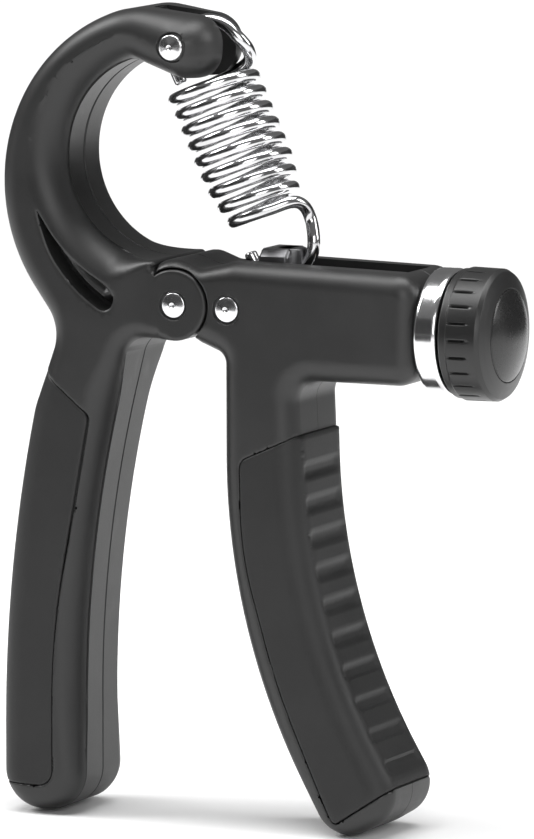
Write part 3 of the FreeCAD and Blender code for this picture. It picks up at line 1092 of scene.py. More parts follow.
def prism(section: Array, x0: float, x1: float, bevel: float) -> Surface:
    """Solid along +X over a closed section.

    Args:
        section: rows of y and z, anticlockwise when +X points at the eye.
        x0: its lower end.
        x1: its upper end.
        bevel: size of the bevelled edge at both ends.

    Returns:
        Points and faces.
    """
    inward = left_normals(section)
    cuts = np.array([[0.0, 1.0], [0.06, 0.88], [0.88, 0.06], [1.0, 0.0]]) * bevel
    rows = [(x0 + d, cut) for d, cut in cuts] + [(x1 - d, cut) for d, cut in cuts[::-1]]
    cols = len(section)
    rings = [
        np.concatenate([np.full((cols, 1), x), section + inward * cut], 1) for x, cut in rows
    ]
    faces = grid_faces(len(rings), cols)
    faces.append(list(range(cols))[::-1])
    faces.append([(len(rings) - 1) * cols + j for j in range(cols)])
    return np.concatenate(rings), faces


def joined(parts: Sequence[Surface]) -> Surface:
    """Several surfaces in one list of points and faces."""
    points, faces, start = [], [], 0
    for p, f in parts:
        points.append(p)
        faces += [[int(v) + start for v in face] for face in f]
        start += len(p)
    return np.concatenate(points), faces


# ---- the object's sub-assemblies, in millimetres about the pivot

# x, z, corner radius, then the face's rounding (width, depth, power, flat step) and the depth
# of the joint line between the halves
PALM_LINE = (
    (6.6, 54.9, 5.5, 7.0, 8.2, 0.5, 0.0, 0.1),
    (-11.1, 56.85, 13.0, 4.4, 4.6, 0.5, 0.0, 0.1),
    (-37.7, 47.6, 35.2, 4.2, 4.4, 0.5, 0.0, 0.1),
    (-37.7, 10.8, 35.2, 4.2, 4.4, 0.5, 0.0, 0.1),
    (-25.5, -5.9, 8.5, 4.0, 4.2, 0.5, 0.0, 0.1),
    (-31.25, -21.5, 18.0, 5.0, 4.5, 0.5, 0.0, 0.1),
    (-38.0, -54.1, 300.0, 5.0, 4.5, 0.5, 0.0, 0.1),
    (-38.0, -101.0, 8.0, 5.0, 4.5, 0.5, 0.0, 0.1),
    (-21.0, -101.0, 8.0, 5.0, 4.8, 0.55, 0.1, 0.25),
    (-21.0, -48.0, 250.0, 5.5, 5.5, 0.75, 0.3, 0.3),
    (-10.8, -6.9, 5.0, 3.6, 3.4, 0.6, 0.0, 0.2),
    (6.9, -6.9, 6.89, 0.7, 0.6, 0.5, 0.0, 0.1),
    (6.9, 6.9, 6.89, 0.7, 0.6, 0.5, 0.0, 0.1),
    (-2.2, 6.9, 6.9, 0.7, 0.6, 0.5, 0.0, 0.1),
    (-4.0, 5.62, 0.15, 0.7, 0.6, 0.5, 0.0, 0.1),
    (-4.0, 8.4, 0.8, 0.8, 0.9, 0.6, 0.0, 0.1),
    (-24.7, 8.3, 19.2, 6.4, 5.5, 0.75, 0.3, 0.45),
    (-24.7, 42.0, 19.8, 6.4, 5.5, 0.75, 0.3, 0.45),
    (-10.4, 46.93, 2.4, 5.4, 5.6, 0.6, 0.0, 0.1),
    (-0.9, 43.15, 4.8, 6.4, 7.4, 0.5, 0.0, 0.1),
    (6.3, 43.5, 5.2, 7.0, 8.2, 0.5, 0.0, 0.1),
)
# The same traits where the arm's inner edge meets the pivot eye
EYE_TRAITS = (0.8, 0.9, 0.6, 0.0, 0.1)
# x, z and corner radius
PALM_PAD = (
    (-18.3, -22.4, 2),
    (-45, -0.5, 1),
    (-45, -95.7, 1),
    (-26.3, -95.7, 3),
    (-26.3, -66, 150),
)
# Points of the scoop's edge: down its outer side from the sharp tip, and back up its inner side
SCOOP_OUTER = (
    (-29.2, 16.8),
    (-28.0, 12.8),
    (-26.5, 9.1),
    (-24.3, 5.8),
    (-21.2, 2.35),
    (-17.8, -0.4),
    (-15.3, -1.8),
)
SCOOP_INNER = (
    (-13.5, -1.2),
    (-12.8, 0.8),
    (-13.8, 2.4),
    (-15.9, 4.0),
    (-19.0, 5.9),
    (-23.0, 9.1),
    (-26.0, 12.4),
    (-28.1, 15.4),
)

# Distances of the rows of mesh points from the scoop's edge
SCOOP_ROWS = (-0.45, -0.2, 0.01, 0.19, 0.37, 0.55, 0.78, 1.02)

FINGER_LINE = (
    (50.5, 7.9, 4.7, 4.0, 4.0, 0.5, 0.0, 0.1),
    (11.6, 8.7, 8.0, 3.4, 3.6, 0.5, 0.0, 0.15),
    (5.0, 6.95, 4.0, 2.6, 3.0, 0.5, 0.0, 0.2),
    (-0.8, 9.1, 5.0, 2.6, 3.0, 0.5, 0.0, 0.2),
    (-9.0, 5.6, 4.7, 2.6, 3.0, 0.5, 0.0, 0.1),
    (-9.0, -2.0, 4.7, 4.5, 4.5, 0.5, 0.0, 0.1),
    (9.75, -9.4, 2.5, 4.5, 4.5, 0.5, 0.0, 0.1),
    (9.75, -62.3, 130.0, 5.0, 4.5, 0.5, 0.0, 0.1),
    (32.9, -103.9, 7.0, 5.0, 4.5, 0.5, 0.0, 0.1),
    (47.95, -94.9, 7.0, 5.0, 4.5, 0.5, 0.0, 0.1),
    (27.0, -59.7, 119.0, 5.0, 4.5, 0.5, 0.0, 0.1),
    (25.6, -13.6, 4.0, 4.5, 4.5, 0.5, 0.0, 0.1),
    (50.5, -13.6, 4.7, 4.5, 4.5, 0.5, 0.0, 0.1),
)
# Corner between housing and handle, drawn a little to the left of the CAD's
NECK = (24.8, -13.6)
FINGER_PAD = (
    (60, -9, 1),
    (14, -29.4, 2.5),
    (14.3, -47, 60),
    (22, -73, 130),
    (33.6, -99.2, 1),
    (60, -81.8, 1),
)

# x, z and radius of the shank
RIVETS = {
    "spring_pin": (-0.6, 49.6, 1.5),
    "pivot_pin": (0.0, 0.0, 2.0),
    "tongue_rivet": (11.3, -0.3, 2.0),
}
# Radius and depth of the shallow seat under a rivet's head, and width of its edge
RIVET_SEAT = (2.95, 0.42, 0.2)
PALM_SCREWS = ((-31.2, 22.5), (-23.0, 44.4), (-18.5, -8.0), (-28.5, -45.0), (-29.5, -86.0))
FINGER_SCREWS = ((17.6, -18.6), (19.4, -45.0), (34.2, -85.6), (38.0, -11.1))
# Height of the lead screw's axis
AXIS_Z = -3.8


def screw_wells(places: Sequence[Pair]) -> list[Relief]:
    """Deep round wells in the back face, down to the heads of the shell screws."""
    return [dish(place, 2.42, 3.35, 0.12, (Side.BACK,)) for place in places]


def place_lever(name: str, halves: dict[Side, Surface], pad: Surface) -> None:
    """Puts both halves of a lever and its pad in the scene.

    Args:
        name: start of the names of its nodes and body.
        halves: the surface of each half.
        pad: the surface of the pad.
    """
    body = f"{name}_lever"
    for side, half in ((Side.FRONT, "front"), (Side.BACK, "back")):
        node = f"{name}_{half}_shell"
        Piece(f"{node}_dressed", *halves[side], "shell", "shell_plastic", (node,)).place(body)
    node = f"{name}_grip_pad"
    Piece(f"{name}_pad_dressed", *pad, "rubber", "grip_rubber", (node,)).place(body)


def set_in(line: Array, region: Array, depth: float = 1.2) -> Array:
    """How far the shell is set in from its outline, so that the pad over it stands clear."""
    gap, _ = nearest(line, region)
    return depth * smooth(0.02, 0.3, np.where(inside(line, region), gap, 0))


@dataclass
class PalmLever:
    """Curved arm with the spring's upper pin, pivot eye and palm grip.

    Attributes:
        slot_half: half width of the tip slot.
        slot_x: where the tip slot ends.
        clevis_half: half width of the slot at the pivot.
        clevis_r: radius of that slot's round end.
        scoop_depth: depth of the hollow below the arm.
        scoop_floor: share of that depth that is left over the tongue.
        ridge: distance of the tongue's ridge from the hollow's outer wall.
        flank: width of the tongue's flank on that side.
        slope: width of its slope on the other side.
        wall: width over which the hollow falls to its full depth.
    """

    slot_half: float = 3.0
    slot_x: float = -8.2
    clevis_half: float = 3.6
    clevis_r: float = 6.0
    scoop_depth: float = 4.0
    scoop_floor: float = 0.12
    ridge: float = 2.9
    flank: float = 0.9
    slope: float = 1.7
    wall: float = 0.45

    def hollow(self, p: Array) -> Array:
        """Inner face: the tip slot and the clevis, and closed elsewhere."""
        x, z = p[:, 0], p[:, 1]
        tip = (x > self.slot_x) & (z > 38)
        eye = (np.hypot(x, z) < self.clevis_r) | ((x > 0) & (np.abs(z) < 14))
        return np.where(tip, self.slot_half, np.where(eye, self.clevis_half, 0.0))

    def steps(self) -> Array:
        """Mesh points on both sides of each step of the inner face."""
        out = [straight((self.slot_x + d, 44), (self.slot_x + d, 58)) for d in (-BESIDE, BESIDE)]
        out += [circle((0, 0), self.clevis_r + d) for d in (-BESIDE, BESIDE)]
        for d in (-BESIDE, BESIDE):
            out += [straight((d, -7.5), (d, -6.0)), straight((d, 6.0), (d, 7.5))]
        return np.concatenate(out)

    def scoop(self) -> Relief:
        """Curved hollow with a low tongue in it.

        It is a deep channel along its outer wall. Past that a round tongue rises to near the
        face, and slopes down gently to its other side.
        """
        region = flowing(SCOOP_OUTER + SCOOP_INNER)
        wall = region[: SCOOP_PARTS * len(SCOOP_OUTER)]

        def deep(p: Array) -> Array:
            """Depth of the hollow, less the tongue."""
            gap, _ = nearest(p, region)
            far, _ = nearest(p, wall, False)
            rise = np.exp(-(((far - self.ridge) / self.flank) ** 2))
            slope = 1 - 0.3 * smooth(self.ridge, self.ridge + self.slope, far)
            tongue = (1 - self.scoop_floor) * np.where(far < self.ridge, rise, slope)
            edge = smooth(0.0, self.wall, gap)
            lip = 0.25 * np.clip(1 - gap / 0.5, 0, 1) ** 2
            return np.where(inside(p, region), self.scoop_depth * edge * (1 - tongue) + lip, lip)

        dense = hex_grid(region, 0.26)
        gap, _ = nearest(dense, region)
        dense = dense[inside(dense, region) & (gap > SCOOP_ROWS[-1] + 0.15)]
        return Relief(deep, np.concatenate([offsets(region, SCOOP_ROWS), dense]))

    def shells(self) -> dict[Side, Surface]:
        """Front and back half."""
        line, traits = rounded(PALM_LINE)
        spots = ((self.slot_x, 56.2), (self.slot_x, 46.05), (0, -6.9), (0, 6.9))
        line, traits = with_points_at(line, traits, spots)
        traits = eased(line, traits, np.hypot(*line.T) < 7.5)
        # The arm's inner rounding narrows towards the pivot eye
        narrow = (1 - smooth(8.5, 17.0, np.hypot(*line.T))) * (line[:, 1] > 7.2)
        traits = traits + (np.array(EYE_TRAITS) - traits) * narrow[:, None]
        region, _ = rounded(PALM_PAD)
        rim = Rim(line, *traits.T[:4])
        reliefs = [inlay(region, 2.2), self.scoop()]
        reliefs += [dish(RIVETS[n][:2], *RIVET_SEAT) for n in ("spring_pin", "pivot_pin")]
        reliefs += screw_wells(PALM_SCREWS)
        move = set_in(line, region)
        seam = traits[:, 4]
        return HalfShell(line, move, [rim], self.hollow, reliefs, self.steps(), seam).build()

    def build(self) -> None:
        """Puts both halves and the pad in the scene."""
        halves = self.shells()
        place_lever("palm", halves, WrapPad(rounded(PALM_LINE)[0], rounded(PALM_PAD)[0]).build())


@dataclass
class FingerLever:
    """Housing of the adjuster with the finger grip below it.

    Attributes:
        cut_x: where the housing ends towards the pivot, below the eye.
        cut_r: radius of its round end about the pivot.
        nose_x: where the nose above the eye ends.
        slot_half: half width of the top slot.
        slot_x: both ends of the top slot.
        floor: bottom of the slot.
        shelf: bottom of its shallow part.
        shelf_x: where that part ends.
        bed_x: where the bed of the hinge plate ends.
        bed_half: its half width.
        bore_r: radius of the bore for the lead screw's bush.
        pitch: distance between the treads.
        first: length of plain rubber before the first one.
        last: length of plain rubber after the last one.
        tread: depth of the recesses between the treads.
        fall: shares of the pitch between which a recess falls.
        rise: shares of the pitch between which it rises.
        sides: heights above the middle plane between which it ends.
    """

    cut_x: float = 4.0
    cut_r: float = 7.3
    nose_x: float = -3.6
    slot_half: float = 5.3
    slot_x: Pair = (9.4, 46.5)
    floor: float = -8.6
    shelf: float = 3.1
    shelf_x: float = 15.0
    bed_x: float = 14.9
    bed_half: float = 3.05
    bore_r: float = 4.0
    pitch: float = 6.6
    first: float = 2.0
    last: float = 3.0
    tread: float = 0.5
    fall: Pair = (0.55, 0.62)
    rise: Pair = (0.93, 1.0)
    sides: Pair = (6.6, 8.6)

    def hollow(self, p: Array) -> Array:
        """Inner face: the adjuster's slot, the bed of the hinge plate, and closed elsewhere."""
        x, z = p[:, 0], p[:, 1]
        bottom = np.where(x < self.shelf_x, self.shelf, self.floor)
        slot = (x > self.slot_x[0]) & (x < self.slot_x[1]) & (z > bottom)
        bed = (x < self.bed_x) & (np.abs(z + 0.3) < 4.6 - 0.1 * x)
        bush = (x > self.slot_x[1] - 1) & (np.abs(z - AXIS_Z) < self.bore_r)
        inner = np.where(bed, self.bed_half, 0.0)
        bore = np.sqrt(np.clip(self.bore_r**2 - (z - AXIS_Z) ** 2, 0, None))
        inner = np.where(bush, bore, inner)
        return np.where(slot, self.slot_half, inner)

    def steps(self) -> Array:
        """Mesh points on both sides of each step of the inner face."""
        left, right = self.slot_x
        out = []
        for d in (-BESIDE, BESIDE):
            out += [straight((left + d, self.shelf), (left + d, 9))]
            out += [straight((right + d, self.floor), (right + d, 9))]
            out += [straight((left + d, 7.5), (left + d, 8.6), 0.1)]
            out += [straight((left, self.shelf + d), (self.shelf_x, self.shelf + d))]
            out += [straight((self.shelf_x + d, self.floor), (self.shelf_x + d, self.shelf))]
            out += [straight((self.shelf_x, self.floor + d), (right, self.floor + d), 0.15)]
            for z in (AXIS_Z + self.bore_r + d, AXIS_Z - self.bore_r + d):
                out += [straight((right, z), (50.4, z))]
            out += [straight((self.bed_x + d, -3.4), (self.bed_x + d, 2.8))]
            out += [straight((5, 3.8 + d), (self.bed_x, 2.81 + d))]
            out += [straight((5, -4.4 + d), (self.bed_x, -3.41 + d))]
        return np.concatenate(out)

    def outline(self) -> tuple[Array, Array, Array]:
        """Whole outline with its traits, and the end that is cut round the pivot."""
        corners = [(*NECK, *c[2:]) if c[:2] == (25.6, -13.6) else c for c in FINGER_LINE]
        line, traits = rounded(corners)
        first, last = math.acos(self.nose_x / self.cut_r), -math.acos(self.cut_x / self.cut_r)
        sweep = np.linspace(first, last, 60)
        arc = self.cut_r * np.stack([np.cos(sweep), np.sin(sweep)], -1)
        end = straight((self.nose_x, 7.8), (self.nose_x, float(arc[0, 1]) + 0.1), 0.4)
        cut = np.concatenate([end, arc, [[self.cut_x, -6.3]]])
        return line, traits, cut

    def shells(self) -> dict[Side, Surface]:
        """Front and back half."""
        line, traits, cut = self.outline()
        limit = np.where(line[:, 1] > 0, self.nose_x, self.cut_x)
        keep = (line[:, 0] > limit + 0.05) & (np.hypot(*line.T) > self.cut_r + 0.05)
        start = int(np.argmax(keep & ~np.roll(keep, 1)))
        kept = np.roll(line, -start, 0)[np.roll(keep, -start)]
        trimmed = np.concatenate([kept, cut])
        spots = ((self.slot_x[0], 8.3), (self.slot_x[1], 7.9))
        trimmed, _ = with_points_at(trimmed, np.zeros((len(trimmed), 1)), spots)
        seam = pick(traits[:, 4], nearest(trimmed, line)[1])
        region, _ = rounded(FINGER_PAD)
        size, power, panel = (np.full(len(cut), value) for value in (0.45, 0.5, 0.0))
        rims = [Rim(line, *traits.T[:4]), Rim(cut, size, size, power, panel, False)]
        reliefs = [inlay(region, 2.2), dish(RIVETS["tongue_rivet"][:2], *RIVET_SEAT)]
        reliefs += screw_wells(FINGER_SCREWS)
        move = set_in(trimmed, region)
        return HalfShell(trimmed, move, rims, self.hollow, reliefs, self.steps(), seam).build()

    def treads(self) -> WrapPad:
        """The finger pad with its cross recesses."""
        outline, region = rounded(FINGER_LINE)[0], rounded(FINGER_PAD)[0]
        edge, _ = share(outline, region)
        whole = float(np.hypot(*np.diff(edge, axis=0).T).sum())

        def groove(along: Array, y: Array) -> Array:
            """Depth of the recesses between the plates, which stop short of the side faces."""
            down = whole - along - self.first
            part = np.mod(down, self.pitch) / self.pitch
            cut = smooth(*self.fall, part) * (1 - smooth(*self.rise, part))
            ends = (down > 0) & (down < whole - self.first - self.last)
            return self.tread * cut * ends * (1 - smooth(*self.sides, np.abs(y)))

        return WrapPad(outline, region, groove, pitch=0.9)

    def build(self) -> None:
        """Puts both halves and the pad in the scene."""
        halves = self.shells()
        place_lever("finger", halves, self.treads().build())


@dataclass
class Rivets:
    """Domed rivets across the levers.

    Attributes:
        head_r: radius of the head.
        seat: height of the head's underside above the middle plane.
        top: height of its top.
        dimple: radius of the dimple in its middle.
    """

    head_r: float = 2.5
    seat: float = 11.6
    top: float = 12.4
    dimple: float = 0.55

    def profile(self, shank: float) -> Array:
        """Profile of y and radius: dimple, shallow cone, rim, shank, and the same mirrored."""
        half = [
            (-self.top + 0.42, 0.0, 0.0),
            (-self.top + 0.40, 0.2, 0.1),
            (-self.top, self.dimple, 0.12),
            (-self.seat - 0.25, self.head_r - 0.12, 0.3),
            (-self.seat, self.head_r, 0.06),
            (-self.seat, shank, 0.0),
        ]
        other = [(-y, r, c) for y, r, c in half[::-1]]
        return soft_profile(half + other, step=0.35)

    def build(self) -> None:
        """Puts the three rivets in the scene."""
        for node, (x, z, shank) in RIVETS.items():
            surface = swapped(turned(self.profile(shank), 48), [1, 0, 2], (x, 0.0, z))
            body = "finger_lever" if node == "tongue_rivet" else "palm_lever"
            Piece(f"{node}_domed", *surface, "rivet", "rivet_steel", (node,), 30.0).place(body)


@dataclass
class CoilSpring:
    """Coil tension spring with a round hook at each end.

    Attributes:
        wire: diameter of the wire.
        coil_r: mean radius of the coil.
        pitch: rise of one turn.
        turns: whole turns between the ends.
        end_r: mean radius at the coil's lower end.
        taper: turn from which the radius gets smaller.
        top: centre of the coil's upper end.
        lean: angle of the coil's axis from the vertical, in degrees.
        hook_r: mean radius of the hooks.
        top_hook: centre of the upper hook, as x and z.
        low_hook: centre of the lower hook.
        leave: turns from both ends of the coil at which it bends off to a hook, in degrees.
    """

    wire: float = 2.5
    coil_r: float = 8.0
    end_r: float = 6.1
    taper: float = 6.0
    pitch: float = 3.26
    turns: int = 9
    top: Triple = (2.12, 0.0, 43.44)
    lean: float = 24.9
    hook_r: float = 6.95
    top_hook: Pair = (2.3, 47.2)
    low_hook: Pair = (17.4, 12.0)
    leave: Pair = (53.0, 55.0)

    def axes(self) -> tuple[Array, Array]:
        """The coil's axis, downwards, and the direction across it to the right."""
        a = math.radians(self.lean)
        return np.array([math.sin(a), 0, -math.cos(a)]), np.array([math.cos(a), 0, math.sin(a)])

    def coil(self, degrees: Array) -> tuple[Array, Array]:
        """Places and directions on the coil after turns of so many degrees."""
        down, right = self.axes()
        a = np.radians(degrees)[:, None]
        back = np.array([0.0, 1.0, 0.0])
        share_ = np.clip((a / (2 * math.pi) - self.taper) / (self.turns - self.taper), 0, 1)
        r = self.coil_r - (self.coil_r - self.end_r) * share_**1.3
        shrink = 1.3 * (self.coil_r - self.end_r) * share_**0.3
        shrink = shrink / (2 * math.pi * (self.turns - self.taper))
        out = right * np.cos(a) + back * np.sin(a)
        place = np.array(self.top) + down * (self.pitch * a / (2 * math.pi)) + r * out
        way = r * (back * np.cos(a) - right * np.sin(a)) - shrink * out
        way = way + down * self.pitch / (2 * math.pi)
        return place, way / np.linalg.norm(way, axis=1)[:, None]

    def hook(self, centre: Pair, degrees: Array) -> tuple[Array, Array]:
        """Places and directions on a hook that is run through clockwise."""
        a = np.radians(degrees)
        flat = np.zeros(len(a))
        x, z = centre[0] + self.hook_r * np.cos(a), centre[1] + self.hook_r * np.sin(a)
        place = np.stack([x, flat, z], -1)
        return place, np.stack([np.sin(a), flat, -np.cos(a)], -1)

    def path(self) -> tuple[Array, Array]:
        """Centre line of the wire, and a direction at each point that is never along it.

        The stops are joined by cubic curves whose end speeds are the chord divided by the
        squared cosine of a quarter of the turn, which follow an arc closely.
        """
        quarter = np.arange(1, 4 * self.turns) * 90.0
        angles = np.concatenate([[self.leave[0]], quarter, [360.0 * self.turns - self.leave[1]]])
        ends = np.array([[-3.7, 0, 41.6], [-5.4, 0, 46.5]])
        tail = (ends, np.array([[-0.5, 0, 0.87], [0, 0, 1]]))
        tops = self.hook(self.top_hook, np.array([90.0, 45.0]))
        neck = (np.array([[9.6, 1.4, 48.9]]), np.array([[0.18, 0.55, -0.72]]))
        coil = self.coil(angles)
        stops = np.array([[21.6, -1.4, 19.85], [23.1, 1.2, 16.5]])
        link = (stops, np.array([[0.61, 1.0, -0.35], [0.28, 0.08, -0.92]]))
        lows = self.hook(self.low_hook, np.array([0.0, -90.0, -160.0]))
        parts = (tail, tops, neck, coil, link, lows)
        p, t = (np.concatenate([part[k] for part in parts]) for k in (0, 1))
        t = t / np.linalg.norm(t, axis=1)[:, None]
        chord = np.linalg.norm(p[1:] - p[:-1], axis=1)
        turn = np.arccos(np.clip((t[1:] * t[:-1]).sum(1), -1, 1))
        speed = (chord / np.cos(turn / 4) ** 2)[:, None]
        line = cubic(p[:-1], p[1:], t[:-1] * speed, t[1:] * speed, WIRE_PARTS)
        line = np.concatenate([line, p[-1:]])
        down, _ = self.axes()
        coiled = np.arange(len(line)) / WIRE_PARTS
        share_ = smooth(3.6, 5.2, coiled) * (1 - smooth(len(p) - 6.0, len(p) - 4.2, coiled))
        flat = np.array([0.0, -1.0, 0.0])
        return line, flat * (1 - share_)[:, None] + down * share_[:, None]

    def build(self) -> None:
        """Puts the spring in the scene, bent between the two levers."""
        line, reference = self.path()
        size = np.concatenate([[0], np.cumsum(np.linalg.norm(np.diff(line, axis=0), axis=1))])
        near = np.array([0.0, 0.05, 0.2, 0.5])
        extra = np.concatenate([near, size[-1] - near])
        where = np.unique(np.concatenate([size, extra]))
        line = np.stack([np.interp(where, size, line[:, k]) for k in range(3)], -1)
        reference = np.stack([np.interp(where, size, reference[:, k]) for k in range(3)], -1)
        gap = np.minimum(where, size[-1] - where)
        radius = self.wire / 2 - drop(gap, 0.5, 0.5)
        points, faces = swept(line, radius, reference, 24)
        piece = Piece("spring_wire", points, faces, "spring", "spring_steel", ("spring",), 50.0)
        piece = piece.place(None)
        down, _ = self.axes()
        start = np.array(self.top)
        end = start + down * self.pitch * self.turns
        tuple(to_frame(start))
        tuple(to_frame(end))
        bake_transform(piece)


@dataclass
class Adjuster:
    """Collar ring, knob with its cap, lead screw and the carriage that the spring pulls on.

    Attributes:
        ribs: short cuts round the knob.
        knob_r: radius of the knob.
        knob_x: both ends of the knob.
        cap_r: radius of the cap.
        tip_x: tip of the cap's dome.
        dome: it falls from the tip by the square of the radius over this.
        ring_x: both ends of the collar ring.
        ring_r: its radius.
        thread_x: both ends of the lead screw's thread.
        thread_r: radius of its core.
        crest: height of its thread.
        lead: its pitch.
        block_half: half width of the carriage.
        block_z: its height above and below the screw's axis.
    """

    ribs: int = 24
    knob_r: float = 12.8
    knob_x: Pair = (55.75, 63.5)
    cap_r: float = 8.9
    tip_x: float = 67.45
    dome: float = 38.0
    ring_x: Pair = (50.5, 55.2)
    ring_r: float = 12.4
    thread_x: Pair = (15.3, 45.4)
    thread_r: float = 2.4
    crest: float = 0.6
    lead: float = 2.0
    block_half: float = 5.1
    block_z: Pair = (7.1, 4.6)

    def on_axis(self, surface: Surface) -> Surface:
        """Moves a turned surface to the screw's axis."""
        return surface[0] + np.array([0.0, 0.0, AXIS_Z]), surface[1]

    def ring(self) -> Piece:
        """Bright ring between housing and knob, with a faint middle band."""
        x0, x1 = self.ring_x
        r = self.ring_r
        profile = soft_profile(
            [
                (x0, 4.05, 0.0),
                (x0, r - 0.25, 0.7),
                (x0 + 0.9, r, 0.8),
                (x1 - 0.9, r, 0.8),
                (x1, r - 0.25, 0.7),
                (x1, 4.05, 0.0),
            ],
            closed=True,
        )
        surface = self.on_axis(turned(profile, 160, closed=True))
        return Piece("collar_ring_bright", *surface, "ring", "ring_chrome", ("collar_ring",))

    def knob(self) -> Piece:
        """Knob body: rear band, side with short cuts, bevelled shoulder and nearly flat end."""
        x0, x1 = self.knob_x
        r = self.knob_r
        seam = self.cap_r + 0.1
        profile = soft_profile(
            [
                (x0, 2.6, 0.0),
                (x0, r - 0.6, 0.0),
                (x0 + 0.25, r - 0.35, 0.15),
                (x0 + 1.45, r - 0.3, 0.15),
                (x0 + 1.8, r, 0.15),
                (x1 - 0.1, r - 0.1, 0.15),
                (x1 + 0.7, r - 0.6, 0.2),
                (x1 + 1.3, 10.6, 1.5),
                (self.dome_x(seam), seam, 0.1),
                (61.0, seam, 0.0),
                (61.0, 2.6, 0.0),
            ],
            closed=True,
            step=0.45,
        )

        def ripple(x: Array, radius: Array, t: Array) -> Array:
            """Narrow cuts along the axis that fade out at both ends."""
            turn = np.mod(t * self.ribs / (2 * math.pi) + 0.5, 1) - 0.5
            across = np.abs(turn) * 2 * math.pi * self.knob_r / self.ribs
            deep = 0.5 * (1 - smooth(0.06, 0.34, across))
            reach = smooth(x0 + 1.9, x0 + 2.4, x) * (1 - smooth(x0 + 5.2, x0 + 6.2, x))
            return -deep * reach * (radius > self.knob_r - 0.25)

        surface = self.on_axis(turned(profile, self.ribs * 24, ripple, closed=True))
        return Piece("knob_body_ribbed", *surface, "knob", "knob_plastic", ("knob_body",), 32.0)

    def dome_x(self, r: float) -> float:
        """Where the dome of the cap lies at radius r: it falls as the square of it."""
        return self.tip_x - r * r / self.dome

    def cap(self) -> Piece:
        """Middle of the dome, as a disc that is let into the knob's end."""
        r = np.linspace(0, self.cap_r - 0.3, 24)[::-1]
        dome = np.stack([self.tip_x - r**2 / self.dome, r], -1)
        rim = self.cap_r
        edge = soft_profile(
            [
                (61.4, 0.0, 0.0),
                (61.4, rim, 0.0),
                (self.dome_x(rim) - 0.1, rim, 0.12),
                (self.dome_x(rim - 0.25), rim - 0.25, 0.0),
            ]
        )
        surface = self.on_axis(turned(np.concatenate([edge, dome]), 128))
        return Piece("knob_cap_domed", *surface, "cap", "cap_plastic", ("knob_cap",))

    def lead_screw(self) -> Piece:
        """Screw with a helical thread: the radius depends on x less the pitch times the turn."""
        start, end = self.thread_x
        x = np.concatenate([[start], np.arange(start, end, 0.14)])
        thread = np.stack([x, np.full(len(x), self.thread_r)], -1)
        thread[0, 1] = 0.0
        journal = soft_profile(
            [
                (45.5, 2.5, 0.0),
                (61.0, 2.5, 0.2),
                (61.0, 2.0, 0.0),
                (63.4, 2.0, 0.3),
                (63.4, 0.0, 0.0),
            ]
        )

        def ripple(x: Array, radius: Array, t: Array) -> Array:
            """Flat-topped thread with sloping sides."""
            part = np.mod(x / self.lead - t / (2 * math.pi), 1)
            crest = smooth(0.05, 0.25, part) * (1 - smooth(0.45, 0.65, part))
            return self.crest * crest * (x < end - 0.2) * smooth(start, start + 1.0, x)

        surface = self.on_axis(turned(np.concatenate([thread, journal]), 48, ripple))
        node = "lead_screw"
        return Piece(f"{node}_threaded", *surface, "screw", "screw_steel", (node,), 50.0)

    def bored_block(self) -> Surface:
        """Lower part of the carriage, with the bore that the insert and the screw lie in."""
        profile = soft_profile(
            [
                (15.2, 4.25, 0.0),
                (15.2, 4.75, 0.0),
                (15.45, 5.0, 0.0),
                (22.45, 5.0, 0.0),
                (22.7, 4.75, 0.0),
                (22.7, 4.25, 0.0),
            ],
            closed=True,
            step=1.0,
        )

        def ripple(x: Array, radius: Array, t: Array) -> Array:
            """Draws the outside out to a rectangle."""
            side = self.block_half / np.maximum(np.abs(np.cos(t)), 1e-6)
            lid = np.where(np.sin(t) > 0, *self.block_z) / np.maximum(np.abs(np.sin(t)), 1e-6)
            return (np.minimum(side, lid) - 5.0) * (radius > 4.5)

        return self.on_axis(turned(profile, 192, ripple, closed=True))

    def carriage(self) -> Piece:
        """Block under the spring's hook with a round boss behind it."""
        base = self.bored_block()
        corners = [
            (-5.0, 3.3, 0.1),
            (5.0, 3.3, 0.1),
            (5.0, 9.5, 0.4),
            (3.6, 11.0, 0.4),
            (-3.6, 11.0, 0.4),
            (-5.0, 9.5, 0.4),
        ]
        head = prism(soft_profile(corners, closed=True, step=1.0), 14.9, 20.9, 0.5)
        stem = [(3.3, 0.0, 0.0), (3.3, 3.0, 0.0), (11.0, 3.0, 0.5), (11.0, 0.0, 0.0)]
        boss = swapped(turned(soft_profile(stem), 48), [2, 1, 0], (19.7, 0.0, 0.0))
        surface = joined([base, head, boss])
        return Piece("carriage_body", *surface, "plate", "plate_steel", ("carriage_block",), 35.0)

    def build(self) -> None:
        """Puts the adjuster in the scene."""
        self.ring().place("finger_lever")
        self.knob().place("adjuster_knob")
        self.cap().place("adjuster_knob")
        self.lead_screw().place("adjuster_knob")
        self.carriage().place("spring_carriage")


@dataclass
class SmallParts:
    """CAD nodes that keep their shape and get a finish."""

    finishes: dict[str, str] = field(
        default_factory=lambda: {
            "palm_shell_screws": "screw",
            "finger_shell_screws": "screw",
            "pin_sleeve": "rivet",
            "pivot_washers": "washer",
            "thrust_washer": "washer",
            "hinge_plate": "plate",
            "pivot_bush": "brass",
            "screw_bush": "brass",
            "carriage_insert": "brass",
            "circlip": "screw",
            "knob_nut": "screw",
        }
    )

    def build(self) -> None:
        """Gives each node its material."""
        for node, finish in self.finishes.items():
            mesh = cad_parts[node].data
            if mesh.materials:
                for k in range(len(mesh.materials)):
                    mesh.materials[k] = material(finish)
            else:
                mesh.materials.append(material(finish))


